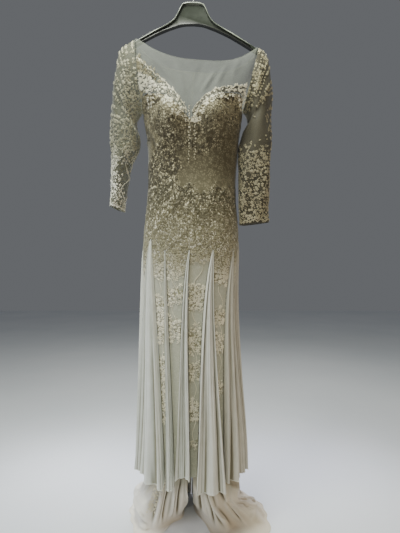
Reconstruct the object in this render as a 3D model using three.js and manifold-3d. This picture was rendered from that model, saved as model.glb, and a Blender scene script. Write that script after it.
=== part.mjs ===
// A wedding dress hanging from a shaped hanger: a boned lace bodice with a sweetheart edge, a sheer
// tulle yoke, set-in sleeves, twelve lace gores with a flared chiffon godet in each seam, and a longer
// under layer that spreads on the floor as a small train.
// Millimetres, +Z up, +X to the right as the front is seen, and the front faces -Y.
// The origin is the point inside the hook that sits on the rail.
import * as THREE from "three";
import Module from "manifold-3d";

const wasm = await Module();
wasm.setup();

// Driving sizes.
const HANG_HEIGHT = 1693; // rail to floor
const FLOOR = -HANG_HEIGHT;
const LACE_WALL = 2; // lace sewn over its lining
const CHIFFON_WALL = 1.6;
const TULLE_WALL = 1.4;
const TRIM_WALL = 1.2;
const SEAM_GAP = 0.5; // between neighbouring pieces
const UNDERARM = -412; // height where the armholes start
const NECK_LEVEL = -202; // mean height of the two shoulder points
const HEM = -1508; // hem of the lace gores
const GORE_COUNT = 12;

// Materials, one for each finish.
const lace = new THREE.MeshStandardMaterial({ color: 0xd9d2bc, roughness: 0.85, metalness: 0 });
const chiffon = new THREE.MeshStandardMaterial({ color: 0xe6e2d4, roughness: 0.75, metalness: 0 });
const tulle = new THREE.MeshStandardMaterial({ color: 0xdfe0d6, roughness: 0.7, metalness: 0 });
const satin = new THREE.MeshStandardMaterial({ color: 0xe9e3d0, roughness: 0.4, metalness: 0 });
const plastic = new THREE.MeshStandardMaterial({ color: 0x8f958c, roughness: 0.35, metalness: 0 });
const steel = new THREE.MeshStandardMaterial({ color: 0xc8c9ca, roughness: 0.25, metalness: 1 });

const dress = new THREE.Group();
dress.name = "wedding_dress";

const radians = (degrees) => (degrees * Math.PI) / 180;
const mix = (a, b, share) => a + (b - a) * share;
const clamp = (value, low, high) => Math.min(high, Math.max(low, value));

// A smooth curve through one named column of a table, read against its key column.
function column(table, key, name) {
  const rows = [...table].sort((a, b) => a[key] - b[key]);
  const at = rows.map((row) => row[key]);
  const value = rows.map((row) => row[name]);
  const last = rows.length - 1;
  const slope = value.map((_, i) => {
    const a = Math.max(0, i - 1);
    const b = Math.min(last, i + 1);
    return (value[b] - value[a]) / (at[b] - at[a]);
  });
  return (where) => {
    const x = clamp(where, at[0], at[last]);
    let i = 0;
    while (i < last - 1 && x > at[i + 1]) i += 1;
    const span = at[i + 1] - at[i];
    const t = (x - at[i]) / span;
    const u = 1 - t;
    return (
      u * u * (1 + 2 * t) * value[i] +
      t * t * (3 - 2 * t) * value[i + 1] +
      u * u * t * span * slope[i] -
      t * t * u * span * slope[i + 1]
    );
  };
}

// A closed body from its corner points and triangles, turned so that its faces point out.
function bodyOf(corners, triangles) {
  let volume = 0;
  for (const [a, b, c] of triangles) {
    volume += corners[a].dot(new THREE.Vector3().crossVectors(corners[b], corners[c]));
  }
  const index = triangles.flatMap(([a, b, c]) => (volume < 0 ? [a, c, b] : [a, b, c]));
  const geometry = new THREE.BufferGeometry();
  geometry.setAttribute("position", new THREE.Float32BufferAttribute(corners.flatMap((p) => p.toArray()), 3));
  geometry.setIndex(index);
  geometry.computeVertexNormals();
  return geometry;
}

// The normal of a surface point(across, along), by small steps either way.
function normalOf(point, across, along, stepAcross, stepAlong) {
  const a = point(across + stepAcross, along).sub(point(across - stepAcross, along));
  const b = point(across, along + stepAlong).sub(point(across, along - stepAlong));
  return a.cross(b).normalize();
}

// A cloth wall of even thickness round the surface point(across, along), on a grid of rows and columns.
// With round set the columns close on themselves, as in a sleeve.
function wall({ point, columns, rows, thickness, round = false, stepAcross = 0.02, stepAlong = 0.02, low = -1e9 }) {
  const corners = [];
  for (const side of [0.5, -0.5]) {
    for (const along of rows) {
      for (const across of columns) {
        const normal = normalOf(point, across, along, stepAcross, stepAlong);
        const corner = point(across, along).addScaledVector(normal, side * thickness);
        corner.z = Math.max(corner.z, low);
        corners.push(corner);
      }
    }
  }
  const wide = columns.length;
  const layer = wide * rows.length;
  const at = (face, row, col) => face * layer + row * wide + (col % wide);
  const triangles = [];
  const quad = (a, b, c, d) => triangles.push([a, b, c], [a, c, d]);
  const lastCol = round ? wide : wide - 1;
  for (let r = 0; r + 1 < rows.length; r += 1) {
    for (let c = 0; c < lastCol; c += 1) {
      quad(at(0, r, c), at(0, r, c + 1), at(0, r + 1, c + 1), at(0, r + 1, c));
      quad(at(1, r, c), at(1, r + 1, c), at(1, r + 1, c + 1), at(1, r, c + 1));
    }
    if (!round) {
      quad(at(0, r, 0), at(0, r + 1, 0), at(1, r + 1, 0), at(1, r, 0));
      quad(at(0, r, wide - 1), at(1, r, wide - 1), at(1, r + 1, wide - 1), at(0, r + 1, wide - 1));
    }
  }
  const end = rows.length - 1;
  for (let c = 0; c < lastCol; c += 1) {
    quad(at(0, 0, c), at(1, 0, c), at(1, 0, c + 1), at(0, 0, c + 1));
    quad(at(0, end, c), at(0, end, c + 1), at(1, end, c + 1), at(1, end, c));
  }
  return bodyOf(corners, triangles);
}

// The outer face of a wall as it is built, flat from corner to corner, for what is sewn onto it: the
// point lifted off that face and the face's direction there.
function outerFace({ point, columns, rows, thickness, stepAcross = 0.02, stepAlong = 0.02, flip = false }) {
  const corners = rows.map((along) =>
    columns.map((across) => {
      const out = normalOf(point, across, along, stepAcross, stepAlong);
      if (flip) out.negate();
      return { at: point(across, along).addScaledVector(out, thickness / 2), out };
    }),
  );
  const cell = (values, x) => {
    let i = 0;
    while (i < values.length - 2 && x > values[i + 1]) i += 1;
    return [i, (x - values[i]) / (values[i + 1] - values[i])];
  };
  return (across, along, lift) => {
    const [c, u] = cell(columns, across);
    const [r, v] = cell(rows, along);
    const [a, b] = [corners[r][c], corners[r][c + 1]];
    const [d, e] = [corners[r + 1][c], corners[r + 1][c + 1]];
    const share = u > v ? [[a, 1 - u], [b, u - v], [e, v]] : [[a, 1 - v], [d, v - u], [e, u]];
    const at = new THREE.Vector3();
    const out = new THREE.Vector3();
    for (const [corner, weight] of share) {
      at.addScaledVector(corner.at, weight);
      out.addScaledVector(corner.out, weight);
    }
    out.normalize();
    return { at: at.addScaledVector(out, lift), out };
  };
}

function add(name, geometry, material) {
  const mesh = new THREE.Mesh(geometry, material);
  mesh.name = name;
  dress.add(mesh);
  return mesh;
}

// Evenly spaced values from first to last.
function spaced(first, last, count) {
  return Array.from({ length: count + 1 }, (_, i) => mix(first, last, i / count));
}

// Hanger: one moulded piece with a raised centre, its faces sunk between rims, and a steel hook.
// across is the distance from the middle, top and bottom the heights of its edges there.
const HANGER_TILT = 1.2; // degrees, the left arm rides higher
const HANGER_DEPTH = 14;
const HANGER_RIM = 3.2;
const POCKET_DEPTH = 4.5;
const HANGER_REACH = 209;
const POCKET_REACH = 190;
const HANGER_EDGE = [
  { across: 0, top: -70.5, bottom: -139 },
  { across: 20, top: -71.2, bottom: -140 },
  { across: 33, top: -76, bottom: -142 },
  { across: 41, top: -90, bottom: -144 },
  { across: 48, top: -107, bottom: -146.5 },
  { across: 58, top: -123.5, bottom: -150 },
  { across: 73, top: -136.5, bottom: -155.5 },
  { across: 95, top: -149, bottom: -165 },
  { across: 120, top: -161.5, bottom: -177 },
  { across: 155, top: -183, bottom: -197 },
  { across: 183, top: -200, bottom: -213.5 },
  { across: 202, top: -212.5, bottom: -225 },
  { across: 209, top: -218.5, bottom: -225.5 },
];
const HOOK_WIRE = 4;
const HOOK_INNER = 21; // inner radius of the bend that sits on the rail
const HOOK_STEPS = 26;
const HOOK_SIDES = 8;

// Outline of the hanger out to a reach from the middle, moved in by an inset.
function hangerOutline(reach, inset) {
  const rows = HANGER_EDGE.filter((row) => row.across <= reach);
  const upper = rows.map((row) => new THREE.Vector2(row.across, row.top));
  const lower = rows.map((row) => new THREE.Vector2(row.across, row.bottom)).reverse();
  const right = [...upper, ...lower];
  const left = right.slice(1, -1).reverse();
  const loop = [...right, ...left.map((p) => new THREE.Vector2(-p.x, p.y))];
  return loop.map((p, i) => {
    const before = loop[(i + loop.length - 1) % loop.length];
    const after = loop[(i + 1) % loop.length];
    const along = after.clone().sub(before).normalize();
    return new THREE.Vector2(p.x + along.y * inset, p.y - along.x * inset);
  });
}

function plate(outline, depth, middleY) {
  const geometry = new THREE.ExtrudeGeometry(new THREE.Shape(outline), { depth, bevelEnabled: false });
  geometry.rotateX(Math.PI / 2); // the outline stands up, and its depth runs along -Y
  geometry.translate(0, middleY + depth / 2, 0);
  return geometry;
}

// A closed geometry as a solid that can be cut, and a cut solid back as a geometry.
function solidFrom(geometry) {
  const flat = geometry.index ? geometry.toNonIndexed() : geometry;
  const position = flat.getAttribute("position");
  const corners = new Map();
  const vertProperties = [];
  const triVerts = [];
  for (let i = 0; i < position.count; i += 1) {
    const p = [position.getX(i), position.getY(i), position.getZ(i)];
    const key = p.map((v) => Math.round(v * 1e4)).join();
    if (!corners.has(key)) {
      corners.set(key, corners.size);
      vertProperties.push(...p);
    }
    triVerts.push(corners.get(key));
  }
  return new wasm.Manifold(
    new wasm.Mesh({
      numProp: 3,
      vertProperties: new Float32Array(vertProperties),
      triVerts: new Uint32Array(triVerts),
    }),
  );
}

function geometryFrom(solid) {
  const mesh = solid.getMesh();
  const geometry = new THREE.BufferGeometry();
  geometry.setAttribute("position", new THREE.BufferAttribute(new Float32Array(mesh.vertProperties), 3));
  geometry.setIndex(new THREE.BufferAttribute(new Uint32Array(mesh.triVerts), 1));
  geometry.computeVertexNormals();
  return geometry;
}

const tilt = radians(HANGER_TILT);

function hangerBody() {
  let solid = solidFrom(plate(hangerOutline(HANGER_REACH, 0), HANGER_DEPTH, 0));
  const pocketMiddle = (HANGER_DEPTH - POCKET_DEPTH) / 2 + 0.5;
  for (const side of [-1, 1]) {
    const pocket = plate(hangerOutline(POCKET_REACH, HANGER_RIM), POCKET_DEPTH + 1, side * pocketMiddle);
    solid = solid.subtract(solidFrom(pocket));
  }
  const geometry = geometryFrom(solid);
  geometry.rotateY(tilt);
  return geometry;
}

// The hook's wire: up from the hanger's middle, round to the right and over the rail.
function hookPath() {
  const radius = HOOK_INNER + HOOK_WIRE / 2;
  const foot = HANGER_EDGE[0].top + SEAM_GAP;
  const turn = spaced(-50, 205, 9).map((angle) => [
    radius * Math.cos(radians(angle)),
    radius * Math.sin(radians(angle)) - HOOK_INNER,
  ]);
  const points = [[0, foot], [0, foot + 7], [3.5, foot + 15], ...turn];
  return new THREE.CatmullRomCurve3(points.map(([x, z]) => new THREE.Vector3(x, 0, z)));
}

function hookWire() {
  const section = new THREE.Shape(
    spaced(0, 360, HOOK_SIDES)
      .slice(0, HOOK_SIDES)
      .map((a) => new THREE.Vector2(Math.cos(radians(a)), Math.sin(radians(a))).multiplyScalar(HOOK_WIRE / 2)),
  );
  const geometry = new THREE.ExtrudeGeometry(section, { steps: HOOK_STEPS, extrudePath: hookPath() });
  return geometry;
}

add("hanger_body", hangerBody(), plastic);
add("hanger_hook", hookWire(), steel);

// Sleeves: rings from the armhole, step 0, to the cuff. out is the ring's upper or outer point, in its
// lower or inner point, middleY and deep its middle and half depth front to back.
const LEFT_SLEEVE = [
  { step: 0, outX: -180, outZ: -188.3, inX: -158, inZ: -412, middleY: 0, deep: 52 },
  { step: 1, outX: -203, outZ: -202.2, inX: -164, inZ: -418, middleY: 0, deep: 55 },
  { step: 2, outX: -218, outZ: -213.2, inX: -170, inZ: -428, middleY: 0, deep: 57 },
  { step: 3, outX: -231, outZ: -243, inX: -175, inZ: -440, middleY: 0, deep: 56 },
  { step: 4, outX: -241, outZ: -300, inX: -177, inZ: -452, middleY: 0, deep: 54 },
  { step: 5, outX: -249, outZ: -360, inX: -176, inZ: -468, middleY: -1, deep: 50 },
  { step: 6, outX: -255, outZ: -430, inX: -167, inZ: -490, middleY: -3, deep: 46 },
  { step: 7, outX: -254, outZ: -500, inX: -171, inZ: -530, middleY: -6, deep: 42 },
  { step: 8, outX: -253, outZ: -565, inX: -190, inZ: -582, middleY: -8, deep: 42 },
  { step: 9, outX: -252, outZ: -630, inX: -203, inZ: -638, middleY: -8, deep: 43 },
  { step: 10, outX: -253, outZ: -680, inX: -211, inZ: -688, middleY: -8, deep: 44 },
  { step: 11, outX: -254, outZ: -708, inX: -215, inZ: -722, middleY: -8, deep: 44 },
];
const RIGHT_SLEEVE = [
  { step: 0, outX: 200, outZ: -215.5, inX: 152, inZ: -412, middleY: 0, deep: 52 },
  { step: 1, outX: 212, outZ: -224, inX: 158, inZ: -418, middleY: 0, deep: 55 },
  { step: 2, outX: 224, outZ: -240, inX: 164, inZ: -428, middleY: 0, deep: 57 },
  { step: 3, outX: 234, outZ: -268, inX: 168, inZ: -440, middleY: 0, deep: 56 },
  { step: 4, outX: 241, outZ: -316, inX: 169, inZ: -452, middleY: 0, deep: 54 },
  { step: 5, outX: 243, outZ: -370, inX: 155, inZ: -470, middleY: 0, deep: 50 },
  { step: 6, outX: 241, outZ: -440, inX: 146, inZ: -495, middleY: -2, deep: 46 },
  { step: 7, outX: 240, outZ: -510, inX: 143, inZ: -532, middleY: -6, deep: 42 },
  { step: 8, outX: 236, outZ: -580, inX: 142, inZ: -592, middleY: -8, deep: 36 },
  { step: 9, outX: 231, outZ: -650, inX: 141, inZ: -658, middleY: -10, deep: 30 },
  { step: 10, outX: 226, outZ: -712, inX: 140, inZ: -716, middleY: -10, deep: 26 },
  { step: 11, outX: 223, outZ: -757, inX: 141, inZ: -765, middleY: -10, deep: 24 },
];
const SLEEVE_STEP_OUT = 1.5; // the sleeve stands this far out from the armhole seam line
const SLEEVE_CREASE = 3; // height of the soft lengthwise creases
const SLEEVE_CREASES = 3; // creases round the arm
const SLEEVE_ROWS = [0.03, 0.6, 1.3, 2.1, 3, 4, 5, 6, 7, 8.3, 9.6, 11];
const SLEEVE_SIDES = 16;

function sleeveSurface(table, side) {
  const ring = Object.fromEntries(
    ["outX", "outZ", "inX", "inZ", "middleY", "deep"].map((name) => [name, column(table, "step", name)]),
  );
  const cuff = table.length - 1;
  return (turn, step) => {
    const a = radians(turn);
    const [outX, outZ, inX, inZ] = [ring.outX(step), ring.outZ(step), ring.inX(step), ring.inZ(step)];
    const ramp = clamp((step - 4) / 3, 0, 1);
    const crease = SLEEVE_CREASE * ramp * Math.sin(SLEEVE_CREASES * a + 0.55 * step + side);
    const reach = 1 + crease / Math.max(20, ring.deep(step));
    const beyond = step > cuff ? step - cuff : 0;
    return new THREE.Vector3(
      (outX + inX) / 2 + side * SLEEVE_STEP_OUT + ((outX - inX) / 2) * Math.cos(a) * reach,
      ring.middleY(step) - ring.deep(step) * Math.sin(a) * reach,
      (outZ + inZ) / 2 + ((outZ - inZ) / 2) * Math.cos(a) * reach - beyond * 20,
    );
  };
}

const SLEEVES = [
  { name: "sleeve_left", table: LEFT_SLEEVE, side: -1 },
  { name: "sleeve_right", table: RIGHT_SLEEVE, side: 1 },
];
for (const { name, table, side } of SLEEVES) {
  const geometry = wall({
    point: sleeveSurface(table, side),
    columns: spaced(0, 360, SLEEVE_SIDES).slice(0, SLEEVE_SIDES),
    rows: SLEEVE_ROWS,
    thickness: TULLE_WALL,
    round: true,
    stepAcross: 0.5,
  });
  add(name, geometry, tulle);
}

// Body of the dress: half widths to the left and right and half depths to the front and back.
const BODY = [
  { height: -412, left: 158, right: 152, front: 84, back: 66 },
  { height: -450, left: 151, right: 147, front: 84, back: 64 },
  { height: -490, left: 145, right: 142, front: 82, back: 62 },
  { height: -530, left: 142, right: 138, front: 78, back: 60 },
  { height: -590, left: 140, right: 133, front: 74, back: 60 },
  { height: -640, left: 140, right: 130, front: 78, back: 65 },
  { height: -690, left: 143, right: 130, front: 84, back: 72 },
  { height: -740, left: 148, right: 134, front: 89, back: 79 },
  { height: -808, left: 154, right: 138, front: 93, back: 85 },
  { height: -860, left: 156, right: 135, front: 92, back: 85 },
  { height: -920, left: 155, right: 129, front: 90, back: 83 },
  { height: -1000, left: 153, right: 124, front: 88, back: 80 },
  { height: -1100, left: 151, right: 123, front: 86, back: 77 },
  { height: -1250, left: 149, right: 127, front: 84, back: 75 },
  { height: -1400, left: 149, right: 134, front: 83, back: 74 },
  { height: -1560, left: 150, right: 139, front: 83, back: 74 },
];
// Chest and shoulders above the underarm, by the share of the way up to the neckline.
const CHEST = [
  { up: 0, front: 84, back: 66 },
  { up: 0.25, front: 81, back: 62 },
  { up: 0.5, front: 76, back: 57 },
  { up: 0.75, front: 69, back: 51 },
  { up: 1, front: 61, back: 45 },
];
const BOXINESS = 0.12; // how much fuller than an ellipse the body is between front and side
const FRONT_NECK_SAG = 75;
const BACK_NECK_SAG = 62;
const CUP = { x: 66, centreX: -3, height: -452, swell: 30, wide: 44, above: 60, below: 46 };

const width = { left: column(BODY, "height", "left"), right: column(BODY, "height", "right") };
const depth = { front: column(BODY, "height", "front"), back: column(BODY, "height", "back") };
const chest = { front: column(CHEST, "up", "front"), back: column(CHEST, "up", "back") };
const [leftArmhole] = LEFT_SLEEVE;
const [rightArmhole] = RIGHT_SLEEVE;

function cupSwell(x, z) {
  const tall = z > CUP.height ? CUP.above : CUP.below;
  const one = (middle) => Math.exp(-(((x - middle) / CUP.wide) ** 2) - ((z - CUP.height) / tall) ** 2);
  return CUP.swell * (one(CUP.centreX - CUP.x) + one(CUP.centreX + CUP.x));
}

// Height of the neckline, side from -1 at the left shoulder to 1 at the right.
function neckHeight(side, front) {
  const sharp = front ? (side < 0 ? 2.4 : 3.2) : 3;
  const sag = front ? FRONT_NECK_SAG : BACK_NECK_SAG;
  return mix(leftArmhole.outZ, rightArmhole.outZ, (1 + side) / 2) - sag * (1 - Math.abs(side) ** sharp);
}

// A point of the dress: angle in degrees from the front middle, positive to the right; height is the
// real height up to the underarm, and above it a nominal height that ends at NECK_LEVEL on the neckline.
function body(angle, height) {
  const side = Math.sin(radians(angle));
  const ahead = Math.cos(radians(angle));
  const front = ahead > 0;
  const full = Math.abs(ahead) * (1 + BOXINESS * side * side);
  const turn = front ? -1 : 1;
  let point;
  if (height <= UNDERARM) {
    const [left, right] = [width.left(height), width.right(height)];
    const deep = front ? depth.front(height) : depth.back(height);
    point = new THREE.Vector3((right - left) / 2 + ((right + left) / 2) * side, turn * deep * full, height);
  } else {
    const up = clamp((height - UNDERARM) / (NECK_LEVEL - UNDERARM), 0, 1);
    const edge = leftArmhole.deep * Math.sqrt(Math.max(0, 1 - (2 * up - 1) ** 2));
    const deep = front ? chest.front(up) : chest.back(up);
    const left = mix(leftArmhole.inX, leftArmhole.outX, up);
    const right = mix(rightArmhole.inX, rightArmhole.outX, up);
    point = new THREE.Vector3(
      mix(left, right, (1 + side) / 2),
      turn * (edge + (deep - edge) * full),
      mix(UNDERARM, neckHeight(side, front), up),
    );
  }
  if (front) point.y -= cupSwell(point.x, point.z) * Math.min(1, 3 * ahead);
  return point;
}

// The nominal height at which the body at this angle has a real height.
function nominal(angle, real) {
  if (real <= UNDERARM) return real;
  const front = Math.cos(radians(angle)) > 0;
  const up = (real - UNDERARM) / (neckHeight(Math.sin(radians(angle)), front) - UNDERARM);
  return mix(UNDERARM, NECK_LEVEL, clamp(up, 0, 1));
}

// Top edge of the bodice by the angle from the front middle: two cups with a V between them, then a
// straight run under the arm and a low V at the back.
const FRONT_MIDDLE = -3;
const TOP_EDGE = [
  { from: 0, height: -466 },
  { from: 5, height: -451 },
  { from: 11, height: -431 },
  { from: 20, height: -407 },
  { from: 32, height: -389 },
  { from: 46, height: -383 },
  { from: 60, height: -382 },
  { from: 72, height: -392 },
  { from: 82, height: -415 },
  { from: 92, height: -418 },
  { from: 108, height: -424 },
  { from: 128, height: -442 },
  { from: 152, height: -478 },
  { from: 183, height: -512 },
];
const topHeight = column(TOP_EDGE, "from", "height");

function topEdge(angle) {
  const from = Math.abs(angle > 180 ? angle - 360 - FRONT_MIDDLE : angle - FRONT_MIDDLE);
  return nominal(angle, topHeight(from));
}

// Seams round the dress: the angle at the top, at the waist and from the hip down, and the godet let
// into each: where it starts, the angles that its two edges reach at the hem, its depth, the number
// of ridges that it hangs in, how far its middle drops below the gores, and how much more to the right.
const SEAMS = [
  { name: "side_left", top: -90, waist: -93, hip: -94, apex: -808, left: -108, right: -84, depth: 30, ridges: 2, drop: 8, skew: 0 },
  { name: "front_side_left", top: -86, waist: -62, hip: -54, apex: -808, left: -81, right: -32, depth: 31, ridges: 3, drop: 20, skew: 0.9 },
  { name: "princess_left", top: -80, waist: -36, hip: -30, apex: -842, left: -29.5, right: -19.5, depth: 24, ridges: 1, drop: 30, skew: 0 },
  { name: "front_middle", top: -3, waist: -2, hip: 0, apex: -842, left: -17, right: -0.8, depth: 34, ridges: 2, drop: -6, skew: 0 },
  { name: "princess_right", top: 74, waist: 32, hip: 28, apex: -842, left: 6.5, right: 38, depth: 36, ridges: 3, drop: 38, skew: 0 },
  { name: "front_side_right", top: 83, waist: 60, hip: 62, apex: -842, left: 41, right: 77, depth: 30, ridges: 3, drop: 14, skew: 0 },
  { name: "side_right", top: 90, waist: 89, hip: 90, apex: -808, left: 81, right: 104, depth: 31, ridges: 2, drop: 8, skew: 0 },
  { name: "back_side_right", top: 112, waist: 116, hip: 116, apex: -842, left: 108, right: 128, depth: 28, ridges: 2, drop: 14, skew: 0 },
  { name: "back_right", top: 146, waist: 146, hip: 146, apex: -842, left: 134, right: 158, depth: 28, ridges: 2, drop: 16, skew: 0 },
  { name: "back_middle", top: 186, waist: 182, hip: 178, apex: -842, left: 164, right: 188, depth: 28, ridges: 2, drop: 16, skew: 0 },
  { name: "back_left", top: 212, waist: 208, hip: 206, apex: -842, left: 194, right: 218, depth: 28, ridges: 2, drop: 16, skew: 0 },
  { name: "back_side_left", top: 246, waist: 238, hip: 236, apex: -842, left: 224, right: 246, depth: 28, ridges: 2, drop: 14, skew: 0 },
];
const WAIST = -590;
const HIP = -700;
const APEX_HALF = 1; // degrees, half the godet's width where it starts
const SPREAD_POWER = 0.65; // how soon a godet opens below its start

function seamAngle(seam, height) {
  if (height >= UNDERARM) return seam.top;
  const toWaist = clamp((UNDERARM - height) / (UNDERARM - WAIST), 0, 1);
  const toHip = clamp((WAIST - height) / (WAIST - HIP), 0, 1);
  const eased = 1 - (1 - toWaist) ** 1.6;
  return mix(mix(seam.top, seam.waist, eased), seam.hip, toHip * toHip * (3 - 2 * toHip));
}

const opened = (seam, height) => clamp((seam.apex - height) / (seam.apex - HEM), 0, 1);

// Angle of a godet's left (side -1) or right (side 1) edge, which is also the gore's edge.
function godetEdge(seam, height, side) {
  const middle = seamAngle(seam, height);
  if (height > seam.apex + 0.01) return middle;
  const share = opened(seam, height) ** SPREAD_POWER;
  const reach = side < 0 ? seam.left : seam.right;
  return mix(middle + side * APEX_HALF, reach, share);
}

// Rows of the gores: some between the top edge and the bust line, then these heights.
const TOP_ROWS = 6;
const BUST_LINE = -545;
const GORE_ROWS = [
  BUST_LINE, -575, -615, -665, -730, -793, -808, -827, -842, -880, -945, -1025, -1115, -1215, -1320, -1420, HEM,
];
const FRONT_COLUMNS = 7;
const SIDE_COLUMNS = 3;

const seamMargin = SEAM_GAP / 2 / 1.1; // degrees that a gap takes at the body's usual radius
const goreName = (i) => `gore_${String(i + 1).padStart(2, "0")}_${SEAMS[i].name}`;

// A gore between one seam and the next: across runs from 0 to 1, along counts the rows.
function goreSurface(seam, next) {
  const wrap = next === SEAMS[0] ? 360 : 0;
  return (across, along) => {
    const topShare = clamp(along / TOP_ROWS, -1, 1);
    const below = clamp(along - TOP_ROWS, 0, GORE_ROWS.length - 1);
    const index = Math.min(Math.floor(below), GORE_ROWS.length - 2);
    const shared = mix(GORE_ROWS[index], GORE_ROWS[index + 1], below - index);
    const angleAt = (height) => {
      const left = godetEdge(seam, height, 1) + seamMargin;
      const right = godetEdge(next, height, -1) + wrap - seamMargin;
      return mix(left, right, across);
    };
    if (along >= TOP_ROWS) return body(angleAt(shared), shared);
    const guess = topEdge(angleAt(UNDERARM));
    const angle = angleAt(mix(guess, BUST_LINE, topShare));
    return body(angle, mix(topEdge(angle), BUST_LINE, topShare));
  };
}

const GORE_FACES_IN = true; // the surface's own normal points to the inside
const wideGores = ["princess_left", "front_middle"];

function goreWall(i) {
  const columns = wideGores.includes(SEAMS[i].name) ? FRONT_COLUMNS : SIDE_COLUMNS;
  return {
    point: goreSurface(SEAMS[i], SEAMS[(i + 1) % GORE_COUNT]),
    columns: spaced(0, 1, columns),
    rows: spaced(0, TOP_ROWS + GORE_ROWS.length - 1, TOP_ROWS + GORE_ROWS.length - 1),
    thickness: LACE_WALL,
    stepAcross: 0.01,
  };
}

SEAMS.forEach((_, i) => add(goreName(i), wall(goreWall(i)), lace));

// Godets: each hangs in ridges that stand out from the body and lean over the gores beside it.
const HEM_CORNERS = 6; // how close to its corners the hem stays low
const VALLEY = 0.6; // how far the cloth drops between two ridges, as a share of the depth
const LEAN = 0.42; // how far the outer ridges lean sideways at the hem
const GODET_EDGE_IN = 1.5; // the godet's edge stays this far inside the gore's edge
const USUAL_RADIUS = 120;
const godetInset = (GODET_EDGE_IN / USUAL_RADIUS) * (180 / Math.PI);

function godetSurface(seam) {
  return (across, along) => {
    const level = mix(seam.apex, HEM, along);
    const hem = seam.drop * (1 - across ** HEM_CORNERS) * (1 + seam.skew * across);
    const height = level - hem * along * along;
    const share = opened(seam, level) ** SPREAD_POWER;
    const left = godetEdge(seam, level, -1);
    const right = godetEdge(seam, level, 1);
    const half = (right - left) / 2;
    const inset = Math.min(godetInset, half * 0.4);
    const leaned = across + LEAN * share * Math.sin(Math.PI * across);
    const angle = (left + right) / 2 + leaned * (half - inset);
    const edge = 1 - across ** 8;
    const ridge = 1 - VALLEY * (0.5 + 0.5 * Math.cos(Math.PI * seam.ridges * (across + 1)));
    const at = body(angle, height);
    const out = normalOf(body, angle, height, 0.5, 0.5).setZ(0).normalize();
    if (out.dot(new THREE.Vector3(at.x, at.y, 0)) < 0) out.negate();
    return at.addScaledVector(out, seam.depth * share * edge * ridge);
  };
}

SEAMS.forEach((seam, i) => {
  const rows = GORE_ROWS.filter((height) => height <= seam.apex - 1).map((height) => opened(seam, height));
  const geometry = wall({
    point: godetSurface(seam),
    columns: spaced(-1, 1, 4 * seam.ridges),
    rows: [0.01, ...rows],
    thickness: CHIFFON_WALL,
    stepAcross: 0.01,
    stepAlong: 0.004,
  });
  add(`godet_${String(i + 1).padStart(2, "0")}_${seam.name}`, geometry, chiffon);
});

// Yoke: sheer front and two backs, from the bodice's top edge to the neckline.
const YOKE_TOP = mix(UNDERARM, NECK_LEVEL, 0.985);
const YOKE_LIFT = 1.8; // the yoke starts this far above the bodice's edge
const YOKE_SIDE = 89.4; // degrees, just inside the armhole seam

function yokeSurface(angle, share) {
  return body(angle, mix(topEdge(angle) + YOKE_LIFT, YOKE_TOP, share));
}

// The yoke's columns stand over those of the gores below.
function seamTop(name) {
  const seam = SEAMS.find((one) => one.name === name);
  return seamAngle(seam, topHeight(Math.abs(seam.top > 180 ? seam.top - 360 : seam.top) - FRONT_MIDDLE));
}

function columnsOver(names, turn = 0) {
  const tops = names.map((name) => seamTop(name) + (seamTop(name) < 0 ? turn : 0));
  return tops.slice(0, -1).flatMap((top, i) => {
    const steps = wideGores.includes(names[i]) ? FRONT_COLUMNS : SIDE_COLUMNS;
    return spaced(top, tops[i + 1], steps).slice(1);
  });
}

const BACK_OPENING = seamTop("back_middle");
const YOKE_ROWS = [0, 0.12, 0.26, 0.42, 0.6, 0.8, 1];
const yokeWall = { point: yokeSurface, rows: YOKE_ROWS, thickness: TULLE_WALL, stepAcross: 0.1, stepAlong: 0.002 };
const frontOver = columnsOver(["front_side_left", "princess_left", "front_middle", "princess_right"]);
const rightOver = columnsOver(["side_right", "back_side_right", "back_right", "back_middle"]);
const leftOver = columnsOver(["back_middle", "back_left", "back_side_left", "side_left"], 360);
const frontEnds = [seamTop("front_side_left"), seamTop("front_side_right")];
const YOKE_FRONT = { ...yokeWall, columns: [-YOKE_SIDE, frontEnds[0], ...frontOver, frontEnds[1], YOKE_SIDE] };
const YOKE_BACK_RIGHT = {
  ...yokeWall,
  columns: [180 - YOKE_SIDE, ...rightOver.slice(0, -1), BACK_OPENING - seamMargin],
};
const YOKE_BACK_LEFT = { ...yokeWall, columns: [BACK_OPENING + seamMargin, ...leftOver.slice(0, -1), 180 + YOKE_SIDE] };
add("yoke_front", wall(YOKE_FRONT), tulle);
add("yoke_back_right", wall(YOKE_BACK_RIGHT), tulle);
add("yoke_back_left", wall(YOKE_BACK_LEFT), tulle);

// How far up the yoke a real height is, from 0 at the bodice to 1 at the neckline.
function yokeShare(angle, real) {
  const low = topEdge(angle) + YOKE_LIFT;
  return (nominal(angle, real) - low) / (YOKE_TOP - low);
}

// Lace edging laid on the yoke along the cups, with a scalloped top that climbs to each shoulder.
const EDGINGS = [
  { name: "lace_edging_left", from: -78, to: -6, low: 16, high: 132, climb: 1.5 },
  { name: "lace_edging_right", from: 0, to: 72, low: 13, high: 40, climb: 6 },
];
const SCALLOPS = 8;
const SCALLOP_HEIGHT = 7;
const EDGING_COLUMNS = 32;
const EDGING_START = 4; // above the bodice's edge
const EDGING_LIFT = 0.5; // clears the corners of the cloth below
const yokeFace = outerFace({ ...YOKE_FRONT, flip: true });

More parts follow.
